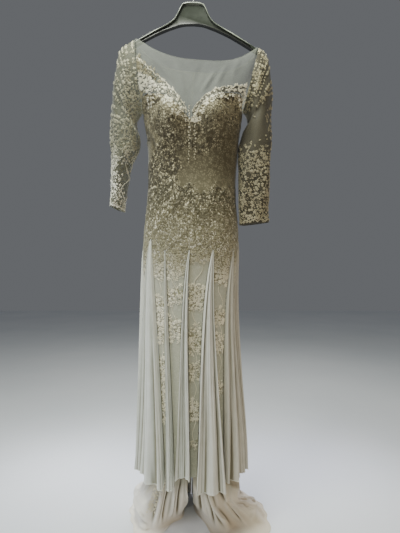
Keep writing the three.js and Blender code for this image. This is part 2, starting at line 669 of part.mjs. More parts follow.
function edgingSurface({ from, to, low, high, climb }) {
  return (across, share) => {
    const angle = mix(from, to, across);
    const toShoulder = clamp(Math.abs(from) > Math.abs(to) ? 1 - across : across, 0, 1);
    const scallop = SCALLOP_HEIGHT * Math.abs(Math.sin(Math.PI * SCALLOPS * across));
    const tall = mix(low, high, toShoulder ** climb) + scallop;
    const real = topHeight(Math.abs(angle - FRONT_MIDDLE)) + EDGING_START + share * tall;
    return yokeFace(angle, yokeShare(angle, real), TRIM_WALL / 2 + SEAM_GAP + EDGING_LIFT).at;
  };
}

for (const edging of EDGINGS) {
  const geometry = wall({
    point: edgingSurface(edging),
    columns: spaced(0, 1, EDGING_COLUMNS),
    rows: [0, 0.5, 1],
    thickness: TRIM_WALL,
    stepAcross: 0.002,
    stepAlong: 0.01,
  });
  add(edging.name, geometry, lace);
}

// Covered buttons down the back opening, each on the right-hand edge.
const BUTTON_COUNT = 12;
const BUTTON_TOP = -436;
const BUTTON_PITCH = 27;
const BUTTON_RADIUS = 5.5;
const BUTTON_HIGH = 4;
const BUTTON_ASIDE = 3.6; // degrees from the opening
const BUTTON_SEAT = 0.2; // the flat base clears the curve of the cloth
const BUTTON_SIDES = 8;
const BUTTON_PROFILE = [
  [0, 0],
  [0.75, 0],
  [1, 0.35],
  [0.7, 0.85],
  [0, 1],
];

const BACK_GORE = 8; // the gore to the right of the opening
const backGoreFace = outerFace({ ...goreWall(BACK_GORE), flip: GORE_FACES_IN });
const backYokeFace = outerFace({ ...YOKE_BACK_RIGHT, flip: GORE_FACES_IN });

function buttonSeat(real) {
  const angle = seamAngle(SEAMS[BACK_GORE + 1], real) - BUTTON_ASIDE;
  const lift = SEAM_GAP + BUTTON_SEAT;
  if (real > topHeight(BACK_OPENING)) return backYokeFace(angle, yokeShare(angle, real), lift);
  const left = godetEdge(SEAMS[BACK_GORE], real, 1);
  const right = godetEdge(SEAMS[BACK_GORE + 1], real, -1);
  const below = GORE_ROWS.findIndex((height) => height < real);
  const [upper, lower] = [below > 0 ? GORE_ROWS[below - 1] : topHeight(BACK_OPENING), GORE_ROWS[below]];
  const share = (real - upper) / (lower - upper);
  const along = below > 0 ? TOP_ROWS + below - 1 + share : TOP_ROWS * share;
  return backGoreFace((angle - left) / (right - left), along, lift);
}

for (let i = 0; i < BUTTON_COUNT; i += 1) {
  const seat = buttonSeat(BUTTON_TOP - i * BUTTON_PITCH);
  const profile = BUTTON_PROFILE.map(([r, h]) => new THREE.Vector2(r * BUTTON_RADIUS, h * BUTTON_HIGH));
  const shape = new THREE.LatheGeometry(profile, BUTTON_SIDES);
  const mesh = add(`button_${String(i + 1).padStart(2, "0")}`, shape, satin);
  mesh.position.copy(seat.at);
  mesh.quaternion.setFromUnitVectors(new THREE.Vector3(0, 1, 0), seat.out);
}

// Under layer: hangs inside the gores and spreads on the floor. For each angle round the dress, x and y
// are where the cloth meets the floor, mid, brim and low the spread it has 93, 75 and 38 mm up,
// and hem how far the cloth runs on along the floor.
const TRAIN = [
  { angle: -200, x: 40, y: 152, mid: 0.25, brim: 0.4, low: 0.7, hem: 22 },
  { angle: -180, x: -10, y: 152, mid: 0.25, brim: 0.4, low: 0.7, hem: 24 },
  { angle: -150, x: -90, y: 148, mid: 0.28, brim: 0.42, low: 0.7, hem: 24 },
  { angle: -125, x: -148, y: 130, mid: 0.35, brim: 0.6, low: 0.8, hem: 22 },
  { angle: -105, x: -181, y: 105, mid: 0.45, brim: 0.85, low: 0.95, hem: 20 },
  { angle: -90, x: -192, y: 72, mid: 0.5, brim: 0.95, low: 1.02, hem: 18 },
  { angle: -75, x: -188, y: 34, mid: 0.5, brim: 0.97, low: 1.04, hem: 14 },
  { angle: -62, x: -177, y: -2, mid: 0.5, brim: 0.97, low: 1.04, hem: 14 },
  { angle: -52, x: -162, y: -34, mid: 0.48, brim: 0.9, low: 1.02, hem: 20 },
  { angle: -43, x: -139, y: -48, mid: 0.44, brim: 0.7, low: 0.9, hem: 26 },
  { angle: -33, x: -108, y: -36, mid: 0.38, brim: 0.5, low: 0.7, hem: 18 },
  { angle: -23, x: -72, y: -2, mid: 0.36, brim: 0.46, low: 0.66, hem: 8 },
  { angle: -14, x: -44, y: 26, mid: 0.36, brim: 0.46, low: 0.66, hem: 5 },
  { angle: -4, x: -28, y: 78, mid: 0.36, brim: 0.46, low: 0.66, hem: 4 },
  { angle: 2, x: 0, y: 92, mid: 0.36, brim: 0.46, low: 0.66, hem: 4 },
  { angle: 7, x: 16, y: 46, mid: 0.36, brim: 0.46, low: 0.66, hem: 5 },
  { angle: 13, x: 40, y: -2, mid: 0.34, brim: 0.44, low: 0.66, hem: 8 },
  { angle: 19, x: 70, y: -36, mid: 0.3, brim: 0.4, low: 0.64, hem: 24 },
  { angle: 25, x: 104, y: -46, mid: 0.28, brim: 0.37, low: 0.64, hem: 40 },
  { angle: 32, x: 138, y: -32, mid: 0.22, brim: 0.3, low: 0.62, hem: 52 },
  { angle: 41, x: 170, y: -30, mid: 0.16, brim: 0.24, low: 0.62, hem: 58 },
  { angle: 51, x: 197, y: -20, mid: 0.09, brim: 0.18, low: 0.66, hem: 46 },
  { angle: 61, x: 214, y: 2, mid: 0.05, brim: 0.14, low: 0.72, hem: 22 },
  { angle: 73, x: 221, y: 30, mid: 0.04, brim: 0.13, low: 0.78, hem: 12 },
  { angle: 88, x: 218, y: 70, mid: 0.05, brim: 0.15, low: 0.78, hem: 14 },
  { angle: 108, x: 190, y: 112, mid: 0.08, brim: 0.2, low: 0.75, hem: 20 },
  { angle: 135, x: 122, y: 142, mid: 0.15, brim: 0.3, low: 0.7, hem: 22 },
  { angle: 160, x: 40, y: 152, mid: 0.22, brim: 0.38, low: 0.7, hem: 22 },
  { angle: 180, x: -10, y: 152, mid: 0.25, brim: 0.4, low: 0.7, hem: 24 },
];
const LAYER_TOP = -1440;
const LAYER_LEVELS = [LAYER_TOP, HEM - 4, -1560, -1600, -1618, -1655, FLOOR + 9, FLOOR + CHIFFON_WALL / 2, FLOOR + CHIFFON_WALL / 2];
const LAYER_INSET = LACE_WALL / 2 + CHIFFON_WALL / 2 + SEAM_GAP + 0.1;
const FRONT_SET_BACK = 0.46; // the layer's front hangs this share as deep as the gores
const LAYER_FOLD = 3; // height of the folds at the floor
const LAYER_FOLD_DEGREES = 18; // one fold
const LAYER_FIRST_SPREAD = 0.1;
const train = Object.fromEntries(
  ["x", "y", "mid", "brim", "low", "hem"].map((name) => [name, column(TRAIN, "angle", name)]),
);

function floorLine(angle) {
  return new THREE.Vector3(train.x(angle), train.y(angle), 0);
}

function floorNormal(angle) {
  const along = floorLine(angle + 1).sub(floorLine(angle - 1)).normalize();
  return new THREE.Vector3(along.y, -along.x, 0);
}

function layerRing(angle, height) {
  const at = body(angle, height);
  const out = normalOf(body, angle, height, 0.5, 0.5);
  if (out.x * at.x + out.y * at.y < 0) out.negate();
  at.addScaledVector(out, -LAYER_INSET);
  const ahead = Math.cos(radians(angle));
  if (ahead > 0) at.y *= mix(1, FRONT_SET_BACK, Math.min(1, ahead * 1.6));
  return at;
}

// The layer at one of its levels, by number.
function layerLevel(angle, level) {
  const height = LAYER_LEVELS[level];
  if (level < 2) return layerRing(angle, height);
  const spread = [LAYER_FIRST_SPREAD, train.mid(angle), train.brim(angle), train.low(angle), 1, 1, 1][level - 2];
  const at = layerRing(angle, LAYER_LEVELS[1]).lerp(floorLine(angle), spread);
  const fold = LAYER_FOLD * Math.min(1, (level - 1) / 4) * Math.sin((2 * Math.PI * angle) / LAYER_FOLD_DEGREES);
  const run = [0, 0, 0, 0, 0, 0.45, 1][level - 2] * train.hem(angle);
  at.addScaledVector(floorNormal(angle), fold + run);
  return at.setZ(height);
}

function layerSurface(angle, along) {
  const last = LAYER_LEVELS.length - 1;
  const i = clamp(Math.floor(along), 0, last - 1);
  const t = along - i;
  const at = (k) => layerLevel(angle, clamp(k, 0, last));
  const [a, b, c, d] = [at(i - 1), at(i), at(i + 1), at(i + 2)];
  const weights = [
    (-t + 2 * t * t - t * t * t) / 2,
    (2 - 5 * t * t + 3 * t * t * t) / 2,
    (t + 4 * t * t - 3 * t * t * t) / 2,
    (-t * t + t * t * t) / 2,
  ];
  const made = new THREE.Vector3();
  [a, b, c, d].forEach((p, k) => made.addScaledVector(p, weights[k]));
  return made;
}

const LAYER_PANELS = [
  { name: "train_front_left", from: -90, to: -4, columns: 20 },
  { name: "train_front_right", from: 2, to: 90, columns: 20 },
  { name: "train_back_right", from: 90, to: 180, columns: 13 },
  { name: "train_back_left", from: -180, to: -90, columns: 13 },
];
for (const { name, from, to, columns } of LAYER_PANELS) {
  const geometry = wall({
    point: layerSurface,
    columns: spaced(from + seamMargin, to - seamMargin, columns),
    rows: [0, 1, 2, 3, 4, 5, 6, 7, 8],
    thickness: CHIFFON_WALL,
    stepAcross: 0.5,
    low: FLOOR,
  });
  add(name, geometry, chiffon);
}

export default dress;
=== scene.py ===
import bpy
import math
import numpy as np
from collections import namedtuple
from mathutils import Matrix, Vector


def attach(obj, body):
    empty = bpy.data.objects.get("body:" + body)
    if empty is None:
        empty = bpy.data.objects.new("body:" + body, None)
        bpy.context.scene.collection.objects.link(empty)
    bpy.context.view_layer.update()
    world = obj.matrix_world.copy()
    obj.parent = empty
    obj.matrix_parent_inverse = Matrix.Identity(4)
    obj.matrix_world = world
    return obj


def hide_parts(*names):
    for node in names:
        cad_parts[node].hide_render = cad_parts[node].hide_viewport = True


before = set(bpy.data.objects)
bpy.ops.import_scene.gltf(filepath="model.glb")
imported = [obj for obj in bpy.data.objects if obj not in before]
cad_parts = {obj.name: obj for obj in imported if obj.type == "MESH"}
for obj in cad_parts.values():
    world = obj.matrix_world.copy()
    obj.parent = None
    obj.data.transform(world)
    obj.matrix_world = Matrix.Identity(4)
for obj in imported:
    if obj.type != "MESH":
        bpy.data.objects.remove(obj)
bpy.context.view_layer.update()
bpy.ops.object.select_all(action="DESELECT")

# A wedding dress on its hanger, in metres: +Z up, +X to the right, the front faces -Y, and the
# origin is where the hook sits on the rail. Sizes below are in millimetres.


# The view.
# Eye level of a person standing in front of the rail, looking straight ahead at the dress.
def in_scene(name, data):
    """A new object of the scene."""
    made = bpy.data.objects.new(name, data)
    bpy.context.scene.collection.objects.link(made)
    return made


MM = 0.001
EYE = (20, -1250, -893)
FOCAL_PIXELS = 400
PHOTO_HEIGHT = 533
FILM = 36
camera = in_scene("camera", bpy.data.cameras.new("camera"))
camera.location = [value * MM for value in EYE]
camera.rotation_euler = (math.radians(90), 0, 0)
camera.data.sensor_width = FILM
camera.data.lens = FOCAL_PIXELS / PHOTO_HEIGHT * FILM
camera.data.clip_start = 0.05
bpy.context.scene.camera = camera


# Hanger.
# One moulded piece of polystyrene: a raised centre, thin arms, and faces sunk between rims. The
# hook is bright steel wire pushed into the top.
def from_hex(code):
    """An sRGB hex colour as linear red, green, blue and alpha."""
    parts = [int(code[i : i + 2], 16) / 255 for i in (1, 3, 5)]
    linear = [p / 12.92 if p <= 0.04045 else ((p + 0.055) / 1.055) ** 2.4 for p in parts]
    return (*linear, 1.0)


def add_node(tree, kind, inputs=None, stops=(), **settings):
    """Adds one shader node with its settings and links. An input is a value or the socket that feeds
    it, and stops are a colour ramp's positions with their hex colours."""
    made = tree.nodes.new("ShaderNode" + kind)
    for name, value in settings.items():
        setattr(made, name, value)
    for key, value in (inputs or {}).items():
        if isinstance(value, bpy.types.NodeSocket):
            tree.links.new(value, made.inputs[key])
        else:
            made.inputs[key].default_value = value
    if stops:
        points = made.color_ramp.elements
        while len(points) < len(stops):
            points.new(0.5)
        for point, (position, code) in zip(points, stops):
            point.position = position
            point.color = from_hex(code)
    return made


def new_material(name, **shader):
    """A material with one Principled shader, and its tree."""
    material = bpy.data.materials.new(name)
    material.use_nodes = True
    tree = material.node_tree
    tree.nodes.clear()
    inputs = {key.replace("_", " "): value for key, value in shader.items()}
    principled = add_node(tree, "BsdfPrincipled", inputs)
    add_node(tree, "OutputMaterial", {"Surface": principled.outputs[0]})
    return material, tree, principled


def place(obj, *replaced, slot, material):
    """Gives a finished piece its material, hangs it under the root, and hides the CAD nodes that it stands
    for. slot, the finish it stands for, is not used.
    """
    obj.data.materials.clear()
    obj.data.materials.append(material)
    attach(obj, "root")
    if replaced:
        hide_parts(*replaced)
    return obj


# Injection-moulded polystyrene: a satin skin with very faint flow marks. Its colour is painted by height
# on the arm: darker towards the underside as painted shade, and a thin pale band along the top edge as a
# painted highlight.
moulded, tree, shader = new_material("moulded_polystyrene", Roughness=0.34, IOR=1.59)
where = add_node(tree, "TexCoord").outputs["Object"]
flow = add_node(tree, "TexNoise", {"Vector": where, "Scale": 60.0, "Detail": 5.0}).outputs["Fac"]
tone = add_node(tree, "ValToRGB", {"Fac": flow}, [(0.3, "#C9CDC2"), (0.8, "#FFFFFF")]).outputs["Color"]
rise = add_node(tree, "Attribute", attribute_name="rise").outputs["Fac"]
# Painted shade towards the underside, the hanger's own dark grey in the middle, and a painted highlight at
# the top edge.
PAINTED_TOP_HIGHLIGHT_AND_UNDER_SHADE = [(0.0, "#0C0D09"), (0.2, "#171910"), (0.34, "#31362C"), (0.93, "#363C32"), (0.985, "#B4B9AE")]
painted_highlight_and_shade = add_node(tree, "ValToRGB", {"Fac": rise}, PAINTED_TOP_HIGHLIGHT_AND_UNDER_SHADE).outputs["Color"]
MULTIPLY = {"data_type": "RGBA", "blend_type": "MULTIPLY"}
colour = add_node(tree, "Mix", {"Factor": 1.0, 6: painted_highlight_and_shade, 7: tone}, **MULTIPLY).outputs[2]
tree.links.new(colour, shader.inputs["Base Color"])
grain = add_node(tree, "TexNoise", {"Vector": where, "Scale": 900.0, "Detail": 2.0}).outputs["Fac"]
bump = add_node(tree, "Bump", {"Height": grain, "Strength": 0.08, "Distance": 0.0004}).outputs[0]
tree.links.new(bump, shader.inputs["Normal"])

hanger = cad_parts["hanger_body"].copy()
hanger.data = hanger.data.copy()
hanger.name = "moulded_hanger"
hanger.parent = None
for key in list(hanger.keys()):
    del hanger[key]
bpy.context.scene.collection.objects.link(hanger)
bpy.context.view_layer.objects.active = hanger
hanger.select_set(True)
bpy.ops.object.mode_set(mode="EDIT")
bpy.ops.mesh.select_all(action="SELECT")
bpy.ops.mesh.remove_doubles(threshold=0.00001)
bpy.ops.mesh.dissolve_limited(angle_limit=math.radians(1))
bpy.ops.object.mode_set(mode="OBJECT")
rounding = hanger.modifiers.new("rounding", "BEVEL")
rounding.width = 0.9 * MM
rounding.segments = 3
rounding.limit_method = "ANGLE"
rounding.angle_limit = math.radians(40)
bpy.ops.object.modifier_apply(modifier="rounding")
bpy.ops.object.shade_smooth_by_angle(angle=math.radians(35))
place(hanger, "hanger_body", slot="plastic", material=moulded)
hanger.select_set(False)

# How far up the arm each point is, from its lower edge at 0 to its upper edge at 1; it places the
# painted shade underneath and the painted highlight along the top.
corners = np.array([point.co for point in hanger.data.vertices])
x, z = corners[:, 0], corners[:, 2]
stripes = np.round(x / (10 * MM))
groups = [np.flatnonzero(stripes == stripe) for stripe in np.unique(stripes)]
highest = np.array([group[np.argmax(z[group])] for group in groups])
lowest = np.array([group[np.argmin(z[group])] for group in groups])
top, under = np.interp(x, x[highest], z[highest]), np.interp(x, x[lowest], z[lowest])
share = np.clip((z - under) / np.maximum(top - under, MM), 0, 1)
rises = hanger.data.attributes.new("rise", "FLOAT", "POINT")
rises.data.foreach_set("value", share.astype(np.float32))

# Bright drawn steel wire, with fine marks along its length.
steel, tree, shader = new_material("drawn_steel_wire", Metallic=1.0, Roughness=0.24)
where = add_node(tree, "TexCoord").outputs["Object"]
marks = add_node(tree, "TexNoise", {"Vector": where, "Scale": 400.0, "Detail": 3.0}).outputs["Fac"]
tone = add_node(tree, "ValToRGB", {"Fac": marks}, [(0.35, "#B4B4B2"), (0.7, "#D2D2D0")]).outputs["Color"]
tree.links.new(tone, shader.inputs["Base Color"])

HOOK_RADIUS = 23
WIRE_RADIUS = 2
HOOK_FOOT = -70
bend = [math.radians(angle) for angle in range(-50, 206, 12)]
lower = HOOK_RADIUS - WIRE_RADIUS  # the inside of the bend sits on the rail
turn = [(HOOK_RADIUS * math.cos(a), HOOK_RADIUS * math.sin(a) - lower) for a in bend]
path = [(0, HOOK_FOOT), (0, HOOK_FOOT + 7), (3.5, HOOK_FOOT + 15), *turn]
wire_data = bpy.data.curves.new("hook_wire", "CURVE")
wire_data.dimensions = "3D"
wire_data.bevel_depth = WIRE_RADIUS * MM
wire_data.bevel_resolution = 5
wire_data.use_fill_caps = True
spline = wire_data.splines.new("BEZIER")
spline.bezier_points.add(len(path) - 1)
for point, (x, z) in zip(spline.bezier_points, path):
    point.co = (x * MM, 0, z * MM)
    point.handle_left_type = point.handle_right_type = "AUTO"
hook = in_scene("steel_hook", wire_data)
bpy.context.view_layer.objects.active = hook
hook.select_set(True)
bpy.ops.object.convert(target="MESH")
tip = (path[-1][0] * MM, 0, path[-1][1] * MM)
bpy.ops.mesh.primitive_uv_sphere_add(segments=16, ring_count=8, radius=WIRE_RADIUS * 1.35 * MM, location=tip)
knob = bpy.context.object
foot = (0, 0, (HOOK_FOOT + 0.6) * MM)
radii = {"major_radius": 3.4 * MM, "minor_radius": 1.1 * MM}
bpy.ops.mesh.primitive_torus_add(major_segments=24, minor_segments=8, location=foot, **radii)
collar = bpy.context.object
for part in (knob, collar, hook):
    part.select_set(True)
bpy.context.view_layer.objects.active = hook
bpy.ops.object.join()
bpy.ops.object.transform_apply(location=True, rotation=True, scale=True)
bpy.ops.object.shade_smooth()
place(hook, "hanger_hook", slot="steel", material=steel)
bpy.ops.object.select_all(action="DESELECT")


# Lace gores.
# Twelve gores run from the bodice's top edge to the hem. Each is corded lace on net, sewn as one
# with a champagne lining, and is cut wide at the bust and narrow between the godets below.
UNDERARM = -412
NECK_LEVEL = -202
HEM = -1508
WAIST = -590
HIP = -700
FRONT_MIDDLE = -3
FLOOR = -1693
FRONT_NECK_SAG = 75
BACK_NECK_SAG = 62
BOXINESS = 0.12
CUP = {"x": 66, "middle": -3, "height": -452, "swell": 30, "wide": 44, "above": 60, "below": 46}
# columns: height, left, right, front, back
BODY = [
    (-412, 158, 152, 84, 66),
    (-450, 151, 147, 84, 64),
    (-490, 145, 142, 82, 62),
    (-530, 142, 138, 78, 60),
    (-590, 140, 133, 74, 60),
    (-640, 140, 130, 78, 65),
    (-690, 143, 130, 84, 72),
    (-740, 148, 134, 89, 79),
    (-808, 154, 138, 93, 85),
    (-860, 156, 135, 92, 85),
    (-920, 155, 129, 90, 83),
    (-1000, 153, 124, 88, 80),
    (-1100, 151, 123, 86, 77),
    (-1250, 149, 127, 84, 75),
    (-1400, 149, 134, 83, 74),
    (-1560, 150, 139, 83, 74),
]
# columns: up, front, back
CHEST = [
    (0, 84, 66),
    (0.25, 81, 62),
    (0.5, 76, 57),
    (0.75, 69, 51),
    (1, 61, 45),
]
# columns: from, height
TOP_EDGE = [
    (0, -466),
    (5, -451),
    (11, -431),
    (20, -407),
    (32, -389),
    (46, -383),
    (60, -382),
    (72, -392),
    (82, -415),
    (92, -418),
    (108, -424),
    (128, -442),
    (152, -478),
    (183, -512),
]
# columns: step, outX, outZ, inX, inZ, middleY, deep
LEFT_SLEEVE = [
    (0, -180, -188.3, -158, -412, 0, 52),
    (1, -203, -202.2, -164, -418, 0, 55),
    (2, -218, -213.2, -170, -428, 0, 57),
    (3, -231, -243, -175, -440, 0, 56),
    (4, -241, -300, -177, -452, 0, 54),
    (5, -249, -360, -176, -468, -1, 50),
    (6, -255, -430, -167, -490, -3, 46),
    (7, -254, -500, -171, -530, -6, 42),
    (8, -253, -565, -190, -582, -8, 42),
    (9, -252, -630, -203, -638, -8, 43),
    (10, -253, -680, -211, -688, -8, 44),
    (11, -254, -708, -215, -722, -8, 44),
]
# columns: step, outX, outZ, inX, inZ, middleY, deep
RIGHT_SLEEVE = [
    (0, 200, -215.5, 152, -412, 0, 52),
    (1, 212, -224, 158, -418, 0, 55),
    (2, 224, -240, 164, -428, 0, 57),
    (3, 234, -268, 168, -440, 0, 56),
    (4, 241, -316, 169, -452, 0, 54),
    (5, 243, -370, 155, -470, 0, 50),
    (6, 241, -440, 146, -495, -2, 46),
    (7, 240, -510, 143, -532, -6, 42),
    (8, 236, -580, 142, -592, -8, 36),
    (9, 231, -650, 141, -658, -10, 30),
    (10, 226, -712, 140, -716, -10, 26),
    (11, 223, -757, 141, -765, -10, 24),
]
_, LEFT_TIP_X, LEFT_TIP_Z, LEFT_PIT_X, _, _, ARMHOLE_DEEP = LEFT_SLEEVE[0]
_, RIGHT_TIP_X, RIGHT_TIP_Z, RIGHT_PIT_X, *_ = RIGHT_SLEEVE[0]
Seam = namedtuple("Seam", "name top waist hip apex left right depth ridges drop skew")
# columns: name, angle at the top, waist and hip, the godet's apex, its edges at the hem, how deep it
# is, its ridges, how far its hem drops and how much that leans
SEAMS = [
    Seam("side_left", -90, -93, -94, -808, -108, -84, 30, 2, 8, 0),
    Seam("front_side_left", -86, -62, -54, -808, -81, -32, 31, 3, 20, 0.9),
    Seam("princess_left", -80, -36, -30, -842, -29.5, -19.5, 24, 1, 30, 0),
    Seam("front_middle", -3, -2, 0, -842, -17, -0.8, 34, 2, -6, 0),
    Seam("princess_right", 74, 32, 28, -842, 6.5, 38, 36, 3, 38, 0),
    Seam("front_side_right", 83, 60, 62, -842, 41, 77, 30, 3, 14, 0),
    Seam("side_right", 90, 89, 90, -808, 81, 104, 31, 2, 8, 0),
    Seam("back_side_right", 112, 116, 116, -842, 108, 128, 28, 2, 14, 0),
    Seam("back_right", 146, 146, 146, -842, 134, 158, 28, 2, 16, 0),
    Seam("back_middle", 186, 182, 178, -842, 164, 188, 28, 2, 16, 0),
    Seam("back_left", 212, 208, 206, -842, 194, 218, 28, 2, 16, 0),
    Seam("back_side_left", 246, 238, 236, -842, 224, 246, 28, 2, 14, 0),
]
# Gores lie between two seams, and the last one passes 360 degrees.
GORES = [(seam, SEAMS[(i + 1) % len(SEAMS)], 360 * (i == len(SEAMS) - 1)) for i, seam in enumerate(SEAMS)]


def curve(rows, value):
    """A smooth curve through one column of a table, read against its first column."""
    rows = sorted(rows, key=lambda row: row[0])
    at = np.array([row[0] for row in rows], float)
    out = np.array([row[value] for row in rows], float)
    last = len(rows) - 1
    before = np.maximum(np.arange(last + 1) - 1, 0)
    after = np.minimum(np.arange(last + 1) + 1, last)
    slope = (out[after] - out[before]) / (at[after] - at[before])

    def read(where):
        x = np.clip(where, at[0], at[-1])
        i = np.clip(np.searchsorted(at, x, "left") - 1, 0, last - 1)
        span = at[i + 1] - at[i]
        t = (x - at[i]) / span
        u = 1 - t
        ends = u * u * (1 + 2 * t) * out[i] + t * t * (3 - 2 * t) * out[i + 1]
        return ends + u * u * t * span * slope[i] - t * t * u * span * slope[i + 1]

    return read


body_left, body_right, body_front, body_back = [curve(BODY, i) for i in (1, 2, 3, 4)]
chest_front, chest_back = curve(CHEST, 1), curve(CHEST, 2)
top_height = curve(TOP_EDGE, 1)


def mix(a, b, share):
    return a + (b - a) * share


def unit(vectors):
    return vectors / np.maximum(np.linalg.norm(vectors, axis=-1, keepdims=True), 1e-9)


def neck_height(side, front):
    sharp = np.where(front, np.where(side < 0, 2.4, 3.2), 3.0)
    sag = np.where(front, FRONT_NECK_SAG, BACK_NECK_SAG)
    shoulders = mix(LEFT_TIP_Z, RIGHT_TIP_Z, (1 + side) / 2)
    return shoulders - sag * (1 - np.abs(side) ** sharp)


def body(angle, height):
    """Points of the dress, angle in degrees from the front middle; above the underarm the height is
    a nominal one that ends at NECK_LEVEL on the neckline."""
    angle, height = np.broadcast_arrays(np.asarray(angle, float), np.asarray(height, float))
    side = np.sin(np.radians(angle))
    ahead = np.cos(np.radians(angle))
    front = ahead > 0
    full = np.abs(ahead) * (1 + BOXINESS * side * side)
    turn = np.where(front, -1, 1)
    left, right = body_left(height), body_right(height)
    low = np.stack(
        [
            (right - left) / 2 + (right + left) / 2 * side,
            turn * np.where(front, body_front(height), body_back(height)) * full,
            height,
        ],
        -1,
    )
    up = np.clip((height - UNDERARM) / (NECK_LEVEL - UNDERARM), 0, 1)
    edge = ARMHOLE_DEEP * np.sqrt(np.maximum(0, 1 - (2 * up - 1) ** 2))
    deep = np.where(front, chest_front(up), chest_back(up))
    left = mix(LEFT_PIT_X, LEFT_TIP_X, up)
    right = mix(RIGHT_PIT_X, RIGHT_TIP_X, up)
    high = np.stack(
        [
            mix(left, right, (1 + side) / 2),
            turn * (edge + (deep - edge) * full),
            mix(UNDERARM, neck_height(side, front), up),
        ],
        -1,
    )
    made = np.where((height <= UNDERARM)[..., None], low, high)
    tall = np.where(made[..., 2] > CUP["height"], CUP["above"], CUP["below"])
    swell = 0
    for middle in (CUP["middle"] - CUP["x"], CUP["middle"] + CUP["x"]):
        aside = (made[..., 0] - middle) / CUP["wide"]
        off = (made[..., 2] - CUP["height"]) / tall
        swell = swell + np.exp(-(aside**2) - off**2)
    made[..., 1] -= np.where(front, CUP["swell"] * swell * np.minimum(1, 3 * ahead), 0)
    return made


def normals(surface, a, b, step_a=0.3, step_b=1.0):
    """Directions square to a surface of two parameters, away from the upright axis."""
    across = surface(a + step_a, b) - surface(a - step_a, b)
    along = surface(a, b + step_b) - surface(a, b - step_b)
    out = unit(np.cross(across, along))
    at = surface(a, b)
    flip = out[..., 0] * at[..., 0] + out[..., 1] * at[..., 1] < 0
    return np.where(flip[..., None], -out, out)


def nominal(angle, real):
    front = np.cos(np.radians(angle)) > 0
    up = (real - UNDERARM) / (neck_height(np.sin(np.radians(angle)), front) - UNDERARM)
    return np.where(real <= UNDERARM, real, mix(UNDERARM, NECK_LEVEL, np.clip(up, 0, 1)))


def from_middle(angle):
    return np.abs(np.where(angle > 180, angle - 360, angle) - FRONT_MIDDLE)


def top_edge(angle):
    return nominal(angle, top_height(from_middle(angle)))


def seam_angle(seam, height):
    to_waist = np.clip((UNDERARM - height) / (UNDERARM - WAIST), 0, 1)
    to_hip = np.clip((WAIST - height) / (WAIST - HIP), 0, 1)
    eased = 1 - (1 - to_waist) ** 1.6
    return mix(mix(seam.top, seam.waist, eased), seam.hip, to_hip * to_hip * (3 - 2 * to_hip))


def spread(seam, height):
    return np.clip((seam.apex - height) / (seam.apex - HEM), 0, 1) ** 0.65


def godet_edge(seam, height, side):
    middle = seam_angle(seam, height)
    reach = seam.left if side < 0 else seam.right
    return np.where(height > seam.apex, middle, mix(middle + side, reach, spread(seam, height)))


def gore_edges(i, height):
    """The angles between which gore i lies."""
    seam, following, wrap = GORES[i]
    return godet_edge(seam, height, 1), godet_edge(following, height, -1) + wrap


def grid_piece(name, points, closed=False, worked=1.0):
    """A grid of cloth from rows of points in millimetres, with a UV map in metres of cloth, and the
    size that it was cut to. worked is for the whole piece or each point: the share of lace, or on
    chiffon how clear of a crease it is, which places the painted shade in its creases."""
    rows, columns = points.shape[:2]
    bpy.ops.mesh.primitive_grid_add(x_subdivisions=columns - 1, y_subdivisions=rows - 1, size=1)
    cloth = bpy.context.object
    cloth.name = cloth.data.name = name
    flat = (points * MM).reshape(-1, 3)
    cloth.data.vertices.foreach_set("co", flat.ravel())
    across = np.linalg.norm(np.diff(points, axis=1), axis=2) * MM
    along = np.linalg.norm(np.diff(points, axis=0), axis=2) * MM
    u = np.concatenate([np.zeros((rows, 1)), np.cumsum(across, 1)], 1)
    u -= u[:, -1:] / 2
    v = np.concatenate([np.zeros((1, columns)), np.cumsum(along, 0)], 0)
    corners = np.zeros(len(cloth.data.loops), int)
    cloth.data.loops.foreach_get("vertex_index", corners)
    cloth.data.uv_layers[0].data.foreach_set("uv", np.stack([u.ravel(), v.ravel()], 1)[corners].ravel())
    share = cloth.data.attributes.new("worked", "FLOAT", "POINT")
    share.data.foreach_set("value", np.broadcast_to(worked, points.shape[:2]).astype(np.float32).ravel())
    cloth.data.update()
    if closed:
        bpy.ops.object.mode_set(mode="EDIT")
        bpy.ops.mesh.select_all(action="SELECT")
        bpy.ops.mesh.remove_doubles(threshold=0.00002)
        bpy.ops.object.mode_set(mode="OBJECT")
    bpy.ops.object.shade_smooth()
    cloth.select_set(False)
    size = (float(across.sum(1).max()), float(along.sum(0).max()))
    return cloth, size, float(sum(p.area for p in cloth.data.polygons))


# Net with a corded filling, drawn coarse enough to show, over satin lining that is champagne in the bodice
# and paler in the skirt: the lining shows dark between ivory threads that catch the light. Over the bodice
# the lining and threads are also painted darker as shade, under the cups and at the midriff. Where the lace
# is dense the lining is darker, partly from the net over it and partly as painted shade between the cords.
lace_cloth, tree, shader = new_material("corded_lace_on_lining", Roughness=0.75, Sheen_Weight=0.2)
where = add_node(tree, "TexCoord").outputs["Object"]
low = add_node(tree, "SeparateXYZ", {"Vector": where}).outputs["Z"]
down = add_node(tree, "MapRange", {"Value": low, "From Min": -0.6, "From Max": -0.95}).outputs[0]
warp = add_node(tree, "TexNoise", {"Vector": where, "Scale": 80.0, "Detail": 2.0}).outputs["Color"]
moved = add_node(tree, "Mix", {"Factor": 0.014, 4: where, 5: warp}, data_type="VECTOR").outputs[1]
FILLING = 6  # millimetres from one worked spot of the filling to the next
cells = {"Vector": moved, "Scale": 1000 / FILLING}
spots = add_node(tree, "TexVoronoi", cells, feature="DISTANCE_TO_EDGE").outputs["Distance"]
full = add_node(tree, "MapRange", {"Value": spots, "From Min": 0.06, "From Max": 0.2}).outputs[0]
patches = add_node(tree, "TexNoise", {"Vector": where, "Scale": 95.0, "Detail": 2.0}).outputs["Fac"]
